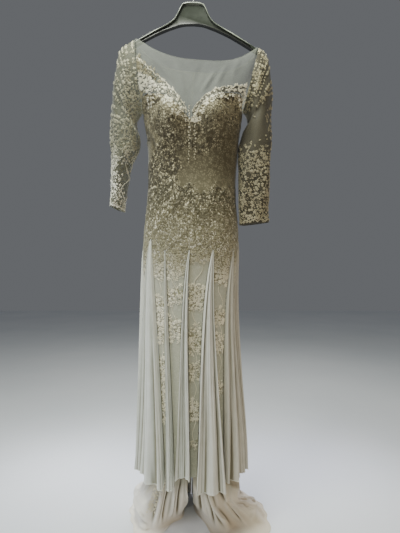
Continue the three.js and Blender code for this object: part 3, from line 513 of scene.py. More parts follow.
thick = add_node(tree, "MapRange", {"Value": patches, "From Min": 0.4, "From Max": 0.54}).outputs[0]
cover = add_node(tree, "Math", {0: full, 1: thick}, operation="MULTIPLY").outputs[0]
dense = add_node(tree, "Attribute", attribute_name="worked").outputs["Fac"]
filled = add_node(tree, "MapRange", {"Value": dense, "To Min": 0.15}).outputs[0]
cover = add_node(tree, "Math", {0: cover, 1: filled}, operation="MULTIPLY").outputs[0]
# Partly the lining's own champagne and partly painted shade: the darkest stops, high up, stand for the shade
# under the cups and at the midriff.
LININGS = [(0.0, "#4A4229"), (0.4, "#746E51"), (1.0, "#ADAC97")]
lining = add_node(tree, "ValToRGB", {"Fac": down}, LININGS).outputs["Color"]
# The threads are painted darker high up, as shade.
thread = add_node(tree, "ValToRGB", {"Fac": down}, [(0.0, "#CDC39C"), (1.0, "#EFEAD8")]).outputs["Color"]
# Painted shade, together with the net's own cover, darkens the lining where the lace is dense.
shade = {"Factor": dense, 6: (1, 1, 1, 1), 7: from_hex("#D0CBB6")}
shaded = add_node(tree, "Mix", shade, data_type="RGBA").outputs[2]
lining = add_node(tree, "Mix", {"Factor": 1.0, 6: lining, 7: shaded}, **MULTIPLY).outputs[2]
colour = add_node(tree, "Mix", {"Factor": cover, 6: lining, 7: thread}, data_type="RGBA").outputs[2]
tree.links.new(colour, shader.inputs["Base Color"])
bump = add_node(tree, "Bump", {"Height": cover, "Strength": 0.6, "Distance": 0.0012}).outputs[0]
tree.links.new(bump, shader.inputs["Normal"])

# Where the dense lace ends on each gore, and the clusters below it, by height.
# columns: seam, dense lace down to, then clusters from and to
CLUSTERS = [
    ("side_left", -918, -960, -1030, -1085, -1130),
    ("front_side_left", -932, -979, -1120, -1150, -1350),
    ("princess_left", -925, -950, -1000, -1043, -1113),
    ("front_middle", -886, -947, -1026, -1067, -1143, -1169, -1233, -1286, -1345, -1400, -1425),
    ("princess_right", -950, -1020, -1067, -1090, -1154, -1230, -1270),
    ("front_side_right", -930, -985, -1050, -1100, -1160),
    ("side_right", -915, -970, -1040, -1090, -1130),
    ("back_side_right", -925, -960, -1035, -1085, -1150, -1210, -1260),
    ("back_right", -900, -950, -1020, -1060, -1130, -1180, -1240),
    ("back_middle", -890, -945, -1020, -1070, -1150, -1190, -1250, -1300, -1350),
    ("back_left", -900, -950, -1015, -1070, -1130, -1185, -1240),
    ("back_side_left", -925, -965, -1040, -1080, -1140, -1200, -1250),
]
# Openings in the pattern, where the lining and its net show.
# columns: front, from x, to x, from z, to z, share of the lace that stays
SPARSE = [
    (1, -54, 128, -676, -536, 0.04),
    (1, 72, 160, -655, -452, 0.08),
    (1, -160, -98, -592, -466, 0.12),
    (1, -72, 100, -548, -476, 0.4),
    (1, -70, -16, -800, -738, 0.6),
    (1, 44, 96, -812, -748, 0.6),
    (0, -80, 70, -690, -500, 0.1),
    (0, -160, -100, -600, -460, 0.2),
]


def fade(value, low, high, edge):
    return np.clip((value - low) / edge, 0, 1) * np.clip((high - value) / edge, 0, 1)


def worked_share(gore, points, height):
    """How much of the lace is worked at points of a gore: 1 is dense."""
    share = np.ones(points.shape[:-1])
    x = points[..., 0] + 9 * np.sin(points[..., 2] / 13) + 5 * np.sin(points[..., 2] / 5)
    z = points[..., 2] + 11 * np.sin(points[..., 0] / 15) + 5 * np.sin(points[..., 0] / 6)
    for front, x0, x1, z0, z1, left in SPARSE:
        inside = fade(x, x0, x1, 20) * fade(z, z0, z1, 24)
        share *= 1 - (1 - left) * inside * ((points[..., 1] < 0) == bool(front))
    _, dense_to, *ends = CLUSTERS[gore]
    height = height + 7 * np.sin(points[..., 0] / 5 + gore) + 4 * np.sin(points[..., 0] / 2.3)
    here = np.clip((height - dense_to) / 14, 0, 1)
    for start, end in zip(ends[::2], ends[1::2]):
        here = np.maximum(here, fade(height, end, start, 12))
    return share * here


# Height of soft pulls in the hung bodice, each from one point to another of the front or back as
# seen (X, Z), with its width and height.
# columns: front, from x, from z, to x, to z, width, height
PULLS = [
    (1, -150, -440, -79, -590, 6, 4.2),
    (1, -96, -455, -84, -586, 5, 3.0),
    (1, -128, -470, -104, -600, 5, -2.6),
    (1, -96, -560, -40, -640, 9, 1.8),
    (1, -120, -500, -60, -575, 8, 1.6),
    (1, 92, -545, 36, -610, 9, 1.8),
    (1, 112, -600, 70, -690, 10, -1.8),
    (1, -110, -640, -84, -760, 10, 1.6),
    (1, -30, -600, -16, -760, 12, -1.5),
    (1, 40, -640, 52, -790, 12, 1.5),
    (0, -90, -540, -30, -610, 10, 1.8),
    (0, 84, -550, 30, -640, 10, 1.8),
    (0, 100, -620, 76, -760, 11, -1.6),
    (0, -104, -640, -70, -780, 11, 1.6),
]


def along_lines(points, lines, is_front):
    """Height at each point of soft ridges that follow lines in the XZ plane and fade at both ends."""
    total = np.zeros(points.shape[:-1])
    for front, x0, z0, x1, z1, width, height in lines:
        start, run = np.array([x0, z0]), np.array([x1 - x0, z1 - z0])
        at = points[..., [0, 2]] - start
        t = np.clip((at @ run) / (run @ run), 0, 1)
        away = np.linalg.norm(at - t[..., None] * run, axis=-1)
        ridge = height * np.exp(-((away / width) ** 2)) * np.sin(np.pi * np.clip(t, 0.03, 0.97))
        total += np.where(is_front == bool(front), ridge, 0)
    return total


def ridged(angle, height, lines, step=1.0):
    """The dress's surface with soft ridges along lines, and the directions square to it."""
    made = body(angle, height)
    out = normals(body, np.asarray(angle, float), np.asarray(height, float), step_b=step)
    rise = along_lines(made, lines, made[..., 1] < 0)
    return made + out * rise[..., None], out


def dressed(angle, height):
    """The dress with its pulls: the lace and everything sewn to it follows this."""
    return ridged(angle, height, PULLS)


BUST = -545
GORE_GAP = 0.06  # degrees from a gore to the seam


def gore_points(i, columns):
    """Rows of gore i: down to the bust they follow its top edge, and below it they are level."""
    across = np.linspace(0, 1, columns)

    def angle_at(height):
        left, right = gore_edges(i, height)
        return mix(left + GORE_GAP, right - GORE_GAP, across)

    rows, heights = [], []
    guess = top_edge(angle_at(np.full(columns, float(UNDERARM))))
    for share in np.linspace(0, 1, 26):
        angle = angle_at(mix(guess, BUST, share))
        rows.append(dressed(angle, mix(top_edge(angle), BUST, share))[0])
        heights.append(rows[-1][:, 2])
    for height in np.linspace(BUST, HEM, 116)[1:]:
        level = np.full(columns, height)
        rows.append(dressed(angle_at(level), level)[0])
        heights.append(level)
    return np.array(rows), np.array(heights)


for i, seam in enumerate(SEAMS):
    points, heights = gore_points(i, 44 if seam.name in ("princess_left", "front_middle") else 20)
    share = worked_share(i, points, heights)
    gore, size, area = grid_piece(f"lace_gore_{seam.name}", points[:, ::-1], worked=share[:, ::-1])
    place(gore, f"gore_{i + 1:02d}_{seam.name}", slot="lace", material=lace_cloth)


# Godets.
# Flared panels of ivory silk chiffon, let into the seams below the hip. They hang in soft ridges
# that lean over the lace beside them, and each has a narrow rolled hem.
YARN = 1.4  # millimetres, drawn about four times coarser than the real yarn so that it shows


def silk(name, woven, crease, warm_light_to, age_and_light_tint):
    """Chiffon: fine crêped yarn, matt and a little sheer, with a faint crosswise ripple. The bottom of a
    crease is painted darker and yellower as shade, and the right-hand side is painted warmer as the light
    that falls on it. woven makes its colour from a tree and its coordinates."""
    made, tree, shader = new_material(name, Roughness=0.82, Sheen_Weight=0.35, Sheen_Roughness=0.5)
    where = add_node(tree, "TexCoord").outputs
    scale = (1000 / YARN, 1000 / YARN / 3, 1)
    stretch = add_node(tree, "Mapping", {"Vector": where["UV"], "Scale": scale}).outputs[0]
    at = add_node(tree, "SeparateXYZ", {"Vector": where["Object"]}).outputs
    clear = add_node(tree, "Attribute", attribute_name="worked").outputs["Fac"]
    # Painted shade at the bottom of creases.
    shade = add_node(tree, "ValToRGB", {"Fac": clear}, [(0.0, crease), (1.0, "#FFFFFF")]).outputs["Color"]
    # Painted warm light, stronger towards the right-hand side.
    aside = {"Value": at["X"], "From Min": -0.03, "From Max": warm_light_to}
    aside = add_node(tree, "MapRange", aside).outputs[0]
    painted_warm_light = add_node(tree, "ValToRGB", {"Fac": aside}, [(0.0, "#FFFFFF"), (1.0, age_and_light_tint)]).outputs["Color"]
    colour = woven(tree, where["UV"], at["Z"])
    colour = add_node(tree, "Mix", {"Factor": 1.0, 6: colour, 7: shade}, **MULTIPLY).outputs[2]
    colour = add_node(tree, "Mix", {"Factor": 1.0, 6: colour, 7: painted_warm_light}, **MULTIPLY).outputs[2]
    tree.links.new(colour, shader.inputs["Base Color"])
    crepe = add_node(tree, "TexNoise", {"Vector": stretch, "Scale": 1.0, "Detail": 2.0}).outputs["Fac"]
    bump = add_node(tree, "Bump", {"Height": crepe, "Strength": 0.25, "Distance": 0.0005}).outputs[0]
    tree.links.new(bump, shader.inputs["Normal"])
    return made


def clouded(tree, cloth_map, height):
    """The godets' colour: ivory in faint clouds."""
    clouds = {"Vector": cloth_map, "Scale": 22.0, "Detail": 3.0}
    clouds = add_node(tree, "TexNoise", clouds).outputs["Fac"]
    return add_node(tree, "ValToRGB", {"Fac": clouds}, [(0.3, "#D2D3C8"), (0.7, "#DEDFD6")]).outputs["Color"]


# The godets: painted shade in their creases, and painted warm light on the right.
chiffon = silk("silk_chiffon", clouded, "#A5A08C", 0.12, "#E9E2DA")


def clear_of_creases(rise, reach, depth):
    """1 where a sheet is smooth or ridged, down to 0 at the bottom of a sharp crease of this depth; the
    chiffon's painted shade in creases follows it.
    """
    sides = np.pad(rise, ((0, 0), (reach, reach)), mode="edge")
    valley = (sides[:, : -2 * reach] + sides[:, 2 * reach :]) / 2 - rise
    return 1 - np.clip(valley / depth, 0, 1)


def godet_points(seam, index, columns, rows):
    across = np.linspace(-1, 1, columns)[None, :]
    along = np.linspace(0.005, 1, rows)[:, None]
    level = mix(seam.apex, HEM, along)
    height = level - seam.drop * (1 - across**6) * (1 + seam.skew * across) * along * along
    share = spread(seam, level)
    left, right = godet_edge(seam, level, -1), godet_edge(seam, level, 1)
    half = (right - left) / 2
    inset = np.minimum(0.7, half * 0.4)
    leaned = across + 0.42 * share * np.sin(np.pi * across)
    angle = (left + right) / 2 + leaned * (half - inset)
    edge = 1 - across**8
    wander = 0.12 * np.sin(2.1 * index + 3.4 * along + 5 * across)
    ridge = 1 - 0.6 * (0.5 + 0.5 * np.cos(np.pi * seam.ridges * (across + 1 + wander * edge)))
    at = body(angle, height)
    out = normals(body, angle + 0 * height, height + 0 * angle)
    out[..., 2] = 0
    out = unit(out)
    fine = 1.3 * np.sin(23 * across + 1.7 * index + 2.5 * along)
    fine = fine + 0.9 * np.sin(41 * across + 0.8 * index - 3 * along)
    for k, place_on in enumerate((-0.76, -0.44, -0.12, 0.2, 0.5, 0.78)):
        ridge_at = place_on + 0.09 * math.sin(2.3 * index + 1.9 * k) + 0.04 * np.sin(3 * along + index + k)
        sharp = 0.045 + 0.02 * math.sin(index + 2.1 * k)
        tall = 4.2 + 1.6 * math.sin(1.3 * k + index)
        fine = fine + tall * np.exp(-np.abs(across - ridge_at) / sharp)
    hem_roll = 2.5 * np.sin(17 * across + index) * np.clip((along - 0.86) / 0.14, 0, 1) ** 2
    rise = (seam.depth * share * ridge + fine * share + hem_roll) * edge
    return at + out * rise[..., None], clear_of_creases(rise, 3, 2.2)


def tube(name, points, radius, closed=False):
    """A rolled or corded edge that follows points in millimetres."""
    points = np.asarray(points, float)
    ahead = np.roll(points, -1, 0) - np.roll(points, 1, 0)
    if not closed:
        ahead[0], ahead[-1] = points[1] - points[0], points[-1] - points[-2]
    ahead = unit(ahead)
    side = unit(np.cross(ahead, np.array([0.13, 0.31, 1.0])))
    over = np.cross(side, ahead)
    turns = np.linspace(0, 2 * np.pi, 7)[:, None]
    rings = points[:, None] + radius * (side[:, None] * np.cos(turns) + over[:, None] * np.sin(turns))
    if closed:
        rings = np.concatenate([rings, rings[:1]])
    return grid_piece(name, rings, closed=True)[0]


for i, seam in enumerate(SEAMS):
    points, clear = godet_points(seam, i, 100 if seam.ridges < 3 else 124, 74)
    godet, size, area = grid_piece(f"chiffon_godet_{seam.name}", points[:, ::-1], worked=clear[:, ::-1])
    place(godet, f"godet_{i + 1:02d}_{seam.name}", slot="chiffon", material=chiffon)
    hem = tube(f"rolled_hem_{seam.name}", points[-1], 0.9)
    place(hem, slot="chiffon", material=chiffon)


# Sheer yoke.
# Two layers of soft ivory tulle, one front and two backs that meet at the opening, cut from the
# bodice's edge to a wide neckline with a narrow rolled edge.
MESH = 2.4  # millimetres, coarser than real, so that it shows


def net_finish(name, dark, light, thread, air):
    """Tulle: a fine net, mostly air, with its cover at the threads and in the meshes."""
    made, tree, shader = new_material(name, Roughness=0.7, Sheen_Weight=0.2)
    cloth_map = add_node(tree, "TexCoord").outputs["UV"]
    cells = {"Vector": cloth_map, "Scale": 1000 / MESH, "Randomness": 0.25}
    cells = add_node(tree, "TexVoronoi", cells, feature="DISTANCE_TO_EDGE").outputs["Distance"]
    cover = {"Value": cells, "From Min": 0.05, "From Max": 0.3, "To Min": thread, "To Max": air}
    cover = add_node(tree, "MapRange", cover).outputs[0]
    tree.links.new(cover, shader.inputs["Alpha"])
    clouds = {"Vector": cloth_map, "Scale": 30.0, "Detail": 2.0}
    clouds = add_node(tree, "TexNoise", clouds).outputs["Fac"]
    tone = add_node(tree, "ValToRGB", {"Fac": clouds}, [(0.3, dark), (0.7, light)]).outputs["Color"]
    tree.links.new(tone, shader.inputs["Base Color"])
    return made


tulle = net_finish("ivory_tulle", "#9FA495", "#AFB3A6", 0.32, 0.12)

YOKE_TOP = mix(UNDERARM, NECK_LEVEL, 0.985)
BACK_OPENING = float(seam_angle(SEAMS[9], np.array(-512.0)))
# columns: front, from x, from z, to x, to z, width, height
SLACK = [
    (1, 66, -312, 24, -392, 5, 6.0),
    (1, 100, -290, 62, -376, 7, 4.0),
    (1, -120, -268, -52, -360, 8, 2.8),
    (1, -52, -286, -22, -398, 7, 4.2),
    (1, 30, -282, 4, -372, 8, -2.4),
    (1, 140, -262, 112, -350, 8, 2.2),
    (1, -150, -262, -122, -352, 7, 2.0),
    (0, 66, -290, 20, -396, 8, 3.0),
    (0, -70, -296, -24, -410, 8, 3.0),
    (0, 118, -280, 76, -390, 9, 2.4),
    (0, -128, -270, -84, -384, 9, 2.4),
]


def sheer(angle, height):
    """The yoke's net, slack between the neckline and the bodice."""
    return ridged(angle, height, SLACK, 0.6)


# columns: name, node, from degrees, to degrees
YOKES = [
    ("sheer_yoke_front", "yoke_front", -89.4, 89.4),
    ("sheer_yoke_back_right", "yoke_back_right", 90.6, BACK_OPENING - 0.1),
    ("sheer_yoke_back_left", "yoke_back_left", BACK_OPENING + 0.1, 269.4),
]
for name, node, start, end in YOKES:
    angle = np.linspace(start, end, 96 if "front" in name else 56)[None, :]
    low = top_edge(angle)
    points, out = sheer(angle, mix(low - 1.5, YOKE_TOP, np.linspace(0, 1, 44)[:, None]))
    points -= out * 0.5
    yoke, size, area = grid_piece(name, points)
    place(yoke, node, slot="tulle", material=tulle)
    neckline = tube(f"rolled_neckline_{node}", points[-1], 1.2)
    place(neckline, slot="tulle", material=tulle)
    if "back" in name:
        opening = tube(f"placket_{node}", points[:, -1 if "right" in name else 0], 1.1)
        place(opening, slot="tulle", material=tulle)


# Sleeves.
# Long set-in sleeves of the same tulle, cut full at the cap. Where they meet the yoke the seam is
# bound, and it rests on the hanger's arms.
def sleeve(rows, side, turn, step):
    out_x, out_z, in_x, in_z, middle, deep = [curve(rows, i)(step) for i in range(1, 7)]
    a = np.radians(turn)
    fold = 3 * np.clip((step - 4) / 3, 0, 1) * np.sin(3 * a + 0.55 * step + side)
    fold = fold + 1.6 * np.clip((step - 0.6) / 2, 0, 1) * np.sin(5 * a - 1.3 * step + 2 * side)
    fold = fold + 1.2 * np.clip((step - 2) / 2, 0, 1) * np.sin(2 * a + 2.9 * step)
    reach = 1 + fold / np.maximum(20, deep)
    return np.stack(
        [
            (out_x + in_x) / 2 + side * 1.5 + (out_x - in_x) / 2 * np.cos(a) * reach,
            middle - deep * np.sin(a) * reach,
            (out_z + in_z) / 2 + (out_z - in_z) / 2 * np.cos(a) * reach,
        ],
        -1,
    )


# columns: name, node, table, side, direction in which the columns run
SLEEVES = [
    ("sheer_sleeve_left", "sleeve_left", LEFT_SLEEVE, -1, 1),
    ("sheer_sleeve_right", "sleeve_right", RIGHT_SLEEVE, 1, -1),
]
# The sleeves' net is painted darker than the yoke's, as painted shade for the dim inside of the sleeve that
# shows through it, and the right sleeve's is painted darker still, as painted shade for a sleeve that hangs
# in shadow. The lace borders use the same nets.
# columns: name, darkest and lightest colour, cover at the threads and in the meshes
SLEEVE_NETS = [
    ("tulle_left_sleeve", "#63634E", "#76765F", 0.62, 0.38),
    ("tulle_right_sleeve", "#3C3623", "#49432D", 0.9, 0.7),
]
shaded_sleeve_nets = [net_finish(*row) for row in SLEEVE_NETS]
for name, node, rows, side, sense in SLEEVES:
    turn = sense * np.linspace(0, 360, 73)[None, :]
    step = np.linspace(0.03, 11, 120)[:, None]
    points = sleeve(rows, side, turn, step)
    made, size, area = grid_piece(name, points, closed=True)
    place(made, node, slot="sleeve_lace", material=shaded_sleeve_nets[side > 0])
    binding = tube(f"armhole_binding_{node}", points[0, :-1], 0.9, closed=True)
    place(binding, slot="tulle", material=tulle)
    cuff = tube(f"cuff_edge_{node}", points[-1, :-1], 0.9, closed=True)
    place(cuff, slot="tulle", material=shaded_sleeve_nets[side > 0])


# Lace appliqué.
# Flowers, leaves, buds and curls worked in ivory cord and applied one beside the other, dense on
# the bodice and scattered down the gores. The same work covers the sleeves and edges the neckline.
# Mercerised cotton cord and satin stitch: ivory, a little glossy along the thread, darker between.
# Its colour follows the height as painted light and shade: ivory at the edging, painted browner as shade
# over the bodice, under the cups and at the midriff, and paler down the skirt. The sleeves have copies of
# their own, painted for the light on each, the right sleeve's darker as painted shade.
STITCH = 1.5  # millimetres, about three times a real stitch so that it shows
HIGHEST, LOWEST = -300, -1050


def cord_finish(name, painted_shading):
    """Cord work whose colour is painted light and shade by height, given as (height in millimetres, sRGB
    hex).
    """
    made, tree, shader = new_material(name, Roughness=0.55, Sheen_Weight=0.3)
    where = add_node(tree, "TexCoord").outputs["Object"]
    stitches = {"Vector": where, "Scale": 1000 / STITCH, "Detail": 2.0}
    stitches = add_node(tree, "TexNoise", stitches).outputs["Fac"]
    height = add_node(tree, "SeparateXYZ", {"Vector": where}).outputs["Z"]
    down = {"Value": height, "From Min": HIGHEST * MM, "From Max": LOWEST * MM}
    down = add_node(tree, "MapRange", down).outputs[0]
    stops = [((HIGHEST - z) / (HIGHEST - LOWEST), code) for z, code in painted_shading]
    # Painted light and shade by height.
    painted_light_and_shade = add_node(tree, "ValToRGB", {"Fac": down}, stops).outputs["Color"]
    age_and_light_tint = add_node(tree, "TexNoise", {"Vector": where, "Scale": 18.0, "Detail": 3.0}).outputs["Fac"]
    tone = add_node(tree, "ValToRGB", {"Fac": age_and_light_tint}, [(0.3, "#E8E4D2"), (0.7, "#FFFCF0")]).outputs["Color"]
    tone = add_node(tree, "Mix", {"Factor": 1.0, 6: tone, 7: painted_light_and_shade}, **MULTIPLY).outputs[2]
    gaps = [(0.3, "#8F8566"), (0.52, "#FFFFFF")]
    dark = add_node(tree, "ValToRGB", {"Fac": stitches}, gaps).outputs["Color"]
    colour = add_node(tree, "Mix", {"Factor": 0.3, 6: tone, 7: dark}, **MULTIPLY).outputs[2]
    tree.links.new(colour, shader.inputs["Base Color"])
    bump = add_node(tree, "Bump", {"Height": stitches, "Strength": 0.6, "Distance": 0.0006}).outputs[0]
    tree.links.new(bump, shader.inputs["Normal"])
    return made


# Painted shade: browner over the bodice, under the cups and at the midriff; ivory down the skirt.
cord_work = cord_finish(
    "ivory_cord_work",
    [
        (-390, "#A19B80"),
        (-445, "#898268"),
        (-505, "#544C32"),
        (-600, "#48412C"),
        (-680, "#565139"),
        (-750, "#7C775E"),
        (-860, "#B6B198"),
        (-940, "#FBF7E8"),
    ],
)
# A copy for each sleeve, painted for its light: the right sleeve's is darker as painted shade.
sleeve_work = [
    cord_finish("ivory_cord_work_left_sleeve", [(-300, "#C9C7B4"), (-520, "#AFAE9B"), (-640, "#FFFFFA")]),
    cord_finish("ivory_cord_work_right_sleeve", [(-300, "#CDC7AB"), (-420, "#ABA48B"), (-760, "#B5AE96")]),
]
# The edging's finish: ivory at the top, painted darker downwards as shade.
edging_work = cord_finish("ivory_edging_cord_work", [(-400, "#FFFDF0"), (-480, "#F0EBD8"), (-600, "#A39B80")])


def strip_faces(rows, columns):
    """The quads of a grid of points."""
    first = np.arange(rows * columns).reshape(rows, columns)
    return np.stack([first[:-1, :-1], first[:-1, 1:], first[1:, 1:], first[1:, :-1]], -1).reshape(-1, 4)


def leaf(x, y, turn, length, width, bend=0.0, rows=3):
    """A domed leaf or petal in its own plane, as points (x, y, lift) and quads; x and y are its foot."""
    along = np.linspace(0, 1, rows + 1)[:, None]
    across = np.array([-1.0, 0.0, 1.0])[None, :]
    wide = np.sin(np.pi * (0.06 + 0.9 * along) ** 0.75) * width / 2
    px, py = across * wide + bend * along * along, along * length
    lift = (1 - np.abs(across)) * (0.7 + 1.5 * wide / width) + 0.15
    c, s = math.cos(math.radians(turn)), math.sin(math.radians(turn))
    columns = np.broadcast_arrays(x + c * px - s * py, y + s * px + c * py, lift)
    return np.stack(columns, -1).reshape(-1, 3), strip_faces(rows + 1, 3)


def cord(path, width=1.8, lift=1.3):
    """A raised cord in its own plane that follows a path of (x, y)."""
    path = np.asarray(path, float)
    ahead = unit(np.gradient(path, axis=0))
    side = np.stack([-ahead[:, 1], ahead[:, 0]], 1)
    edges = []
    for k in (-1, 0, 1):
        edges.append(np.c_[path + side * width * k / 2, np.full(len(path), lift if k == 0 else 0.1)])
    return np.stack(edges, 1).reshape(-1, 3), strip_faces(len(path), 3)


def joined(pieces):
    points, faces, count = [], [], 0
    for p, f in pieces:
        points.append(p)
        faces.append(f + count)
        count += len(p)
    return np.concatenate(points), np.concatenate(faces)


# Cords of the motifs: a ring in a flower's heart, a spray's stalk, a leaf's rib and a curl.
heart = cord([(2.2 * math.cos(a), 2.2 * math.sin(a)) for a in np.linspace(0, 6.3, 7)], 2.2, 2.6)
stalk = cord([(0, -14), (1.5, -5), (0, 4), (-2, 10)], 1.7)
rib = cord([(0, -9), (0.8, 0), (2, 7)], 1.3, 2.6)
curl_path = []
for t in np.linspace(0, 1, 13):
    reach = 3 + 5.5 * (1 - t)
    curl_path.append((reach * math.cos(4.6 * t), reach * math.sin(4.6 * t) - 1))
# columns: foot x, y, turn, length, width, bend
SPRAY = [
    (0.6, -9, 52, 12, 5.6, 1),
    (1.0, -6, -58, 12, 5.6, -1),
    (0, 2, 48, 11, 5, 1),
    (0, 3, -50, 10, 5, -1),
    (-2, 9, 8, 11, 5.6, 0),
]
MOTIFS = {
    "flower": joined([leaf(0, 0, 72 * k + 8, 11.5, 8.6) for k in range(5)] + [heart]),
    "small_flower": joined([leaf(0, 0, 60 * k, 7.5, 5.4) for k in range(6)]),
    "spray": joined([stalk] + [leaf(*row) for row in SPRAY]),
    "leaf": joined([leaf(0, -9, 0, 18, 7.6, 2.5, 5), rib]),
    "curl": joined([cord(curl_path), leaf(7.6, 0, 150, 10, 4.4)]),
    "bud": joined([leaf(0, 0, 0, 9, 6), leaf(0, 0, 55, 7, 3), leaf(0, 0, -55, 7, 3)]),
}
MIXTURE = ["flower", "spray", "leaf", "curl", "flower", "small_flower", "bud", "spray"]
SMALL = ["leaf", "bud", "small_flower"]
chance = np.random.default_rng(11)


def one_of(kinds):
    return kinds[chance.integers(len(kinds))]


def lay_on(surface, anchors, shapes, base=0.35):
    """Shapes laid on a surface of two parameters: anchors are (a, b, turn, size), and each point
    goes as many millimetres from its anchor along the surface as it has in the shape's plane."""
    anchors = np.asarray(anchors, float)
    a, b = anchors[:, 0], anchors[:, 1]
    d_a = (surface(a + 0.25, b)[0] - surface(a - 0.25, b)[0]) / 0.5
    step = np.where(np.abs(b) > 50, 1.0, 0.02)  # b is a height in millimetres, or a sleeve's steps
    d_b = (surface(a, b + step)[0] - surface(a, b - step)[0]) / (2 * step[:, None])
    length_a = np.linalg.norm(d_a, axis=1)
    e_a = d_a / length_a[:, None]
    skew = (d_b * e_a).sum(1)
    length_b = np.linalg.norm(d_b - skew[:, None] * e_a, axis=1)
    points_a, points_b, lifts, faces, count = [], [], [], [], 0
    for i, (points, quads) in enumerate(shapes):
        turn, size = math.radians(anchors[i, 2]), anchors[i, 3]
        x = size * (math.cos(turn) * points[:, 0] - math.sin(turn) * points[:, 1])
        y = size * (math.sin(turn) * points[:, 0] + math.cos(turn) * points[:, 1])
        up = y / length_b[i]
        points_a.append(a[i] + (x - up * skew[i]) / length_a[i])
        points_b.append(b[i] + up)
        lifts.append(points[:, 2] * (0.6 + 0.4 * size) + base)
        faces.append(quads + count)
        count += len(points)
    at, out = surface(np.concatenate(points_a), np.concatenate(points_b))
    return at + out * np.concatenate(lifts)[:, None], np.concatenate(faces)


def worked_piece(name, parts):
    """One mesh of cord work from parts of points in millimetres and quads."""
    points, faces = joined(parts)
    data = bpy.data.meshes.new(name)
    data.from_pydata((points * MM).tolist(), [], faces.tolist())
    made = in_scene(name, data)
    bpy.context.view_layer.objects.active = made
    made.select_set(True)
    bpy.ops.object.shade_smooth()
    made.select_set(False)
    return made


def distances(points):
    """How far along a line each of its points is."""
    return np.r_[0, np.cumsum(np.linalg.norm(np.diff(points, axis=0), axis=1))]


def scattered(surface, a_range, b_range, pitch, keep, size):
    """Motifs over part of a surface, in offset rows that are pitch millimetres apart, each turned by
    chance. keep gives the chance that a motif stays, from its parameters and its point."""
    spots = []
    line, circle = np.linspace(*b_range, 81), np.linspace(*a_range, 61)
    down = distances(surface(np.full(81, sum(a_range) / 2), line)[0])
    row_count = max(1, round(down[-1] / (pitch * 0.87)))
    for row in range(row_count + 1):
        b = float(np.interp(down[-1] * row / row_count, down, line))
        around = distances(surface(circle, np.full(61, b))[0])
        count = max(1, round(around[-1] / pitch))
        for k in range(count):
            share = (k + 0.25 + 0.5 * (row % 2) + chance.uniform(-0.17, 0.17)) / count
            a = float(np.interp(share * around[-1], around, circle))
            lower = b + chance.uniform(-0.16, 0.16) * (b_range[1] - b_range[0]) / row_count
            kind = chance.integers(len(MIXTURE))
            turn = chance.uniform(0, 360)
            scale = chance.uniform(0.86, 1.14)
            spots.append((a, lower, kind, turn, scale, chance.uniform()))
    a, b, kind, turn, scale, draw = np.array(spots).T
    kept = draw < keep(a, b, surface(a, b)[0])
    shapes = [MOTIFS[MIXTURE[int(k)]] for k in kind[kept]]
    return lay_on(surface, np.stack([a, b, turn, size * scale], 1)[kept], shapes)


def vine(surface, path, width, lift=1.5):
    """A cord along a path of the surface's own two parameters."""
    path = np.asarray(path, float)
    at, out = surface(path[:, 0], path[:, 1])
    side = np.cross(out, unit(np.gradient(at, axis=0)))
    rows = [at + side * width * k / 2 + out * (0.3 + (lift if k == 0 else 0)) for k in (-1, 0, 1)]
    return np.stack(rows, 1).reshape(-1, 3), strip_faces(len(path), 3)


def bodice_keep(angle, height, at):
    kept = np.zeros(len(angle))
    for i, (seam, following, wrap) in enumerate(GORES):
        start, end = seam_angle(seam, height), seam_angle(following, height) + wrap
        here = ((start <= angle) & (angle < end)) | ((start <= angle + 360) & (angle + 360 < end))
        share = worked_share(i, at[here], height[here])
        kept[here] = np.where(share > 0.15, 0.84 * share**1.5, 0)
    return np.where(height > top_edge(angle) - 4, 0, kept)


def underarm_keep(angle, height, at):
    below = top_edge(angle) - height
    return np.where((below > 0) & (angle < -54 - below / 4) & (height > -424), 0.95, 0)


# Lace under the left arm goes with the bodice lace and its painted shade.
parts = [
    scattered(dressed, (-180, 180), (-421, -868), 9.6, bodice_keep, 0.46),
    scattered(dressed, (-84, -50), (-372, -426), 8.6, underarm_keep, 0.46),
]
height = np.linspace(-470, -880, 110)
for i in range(len(GORES)):
    left, right = gore_edges(i, height)
    path = np.c_[mix(left, right, 0.5 + 0.26 * np.sin(height / 17 + 2 * i)), height]
    kept = worked_share(i, dressed(path[:, 0], height)[0], height) > 0.5
    ends = np.flatnonzero(np.diff(np.r_[0, kept, 0].astype(int)))
    parts += [vine(dressed, path[a:b], 1.6) for a, b in zip(ends[::2], ends[1::2]) if b - a > 4]
place(worked_piece("lace_motifs_bodice", parts), slot="lace", material=cord_work)

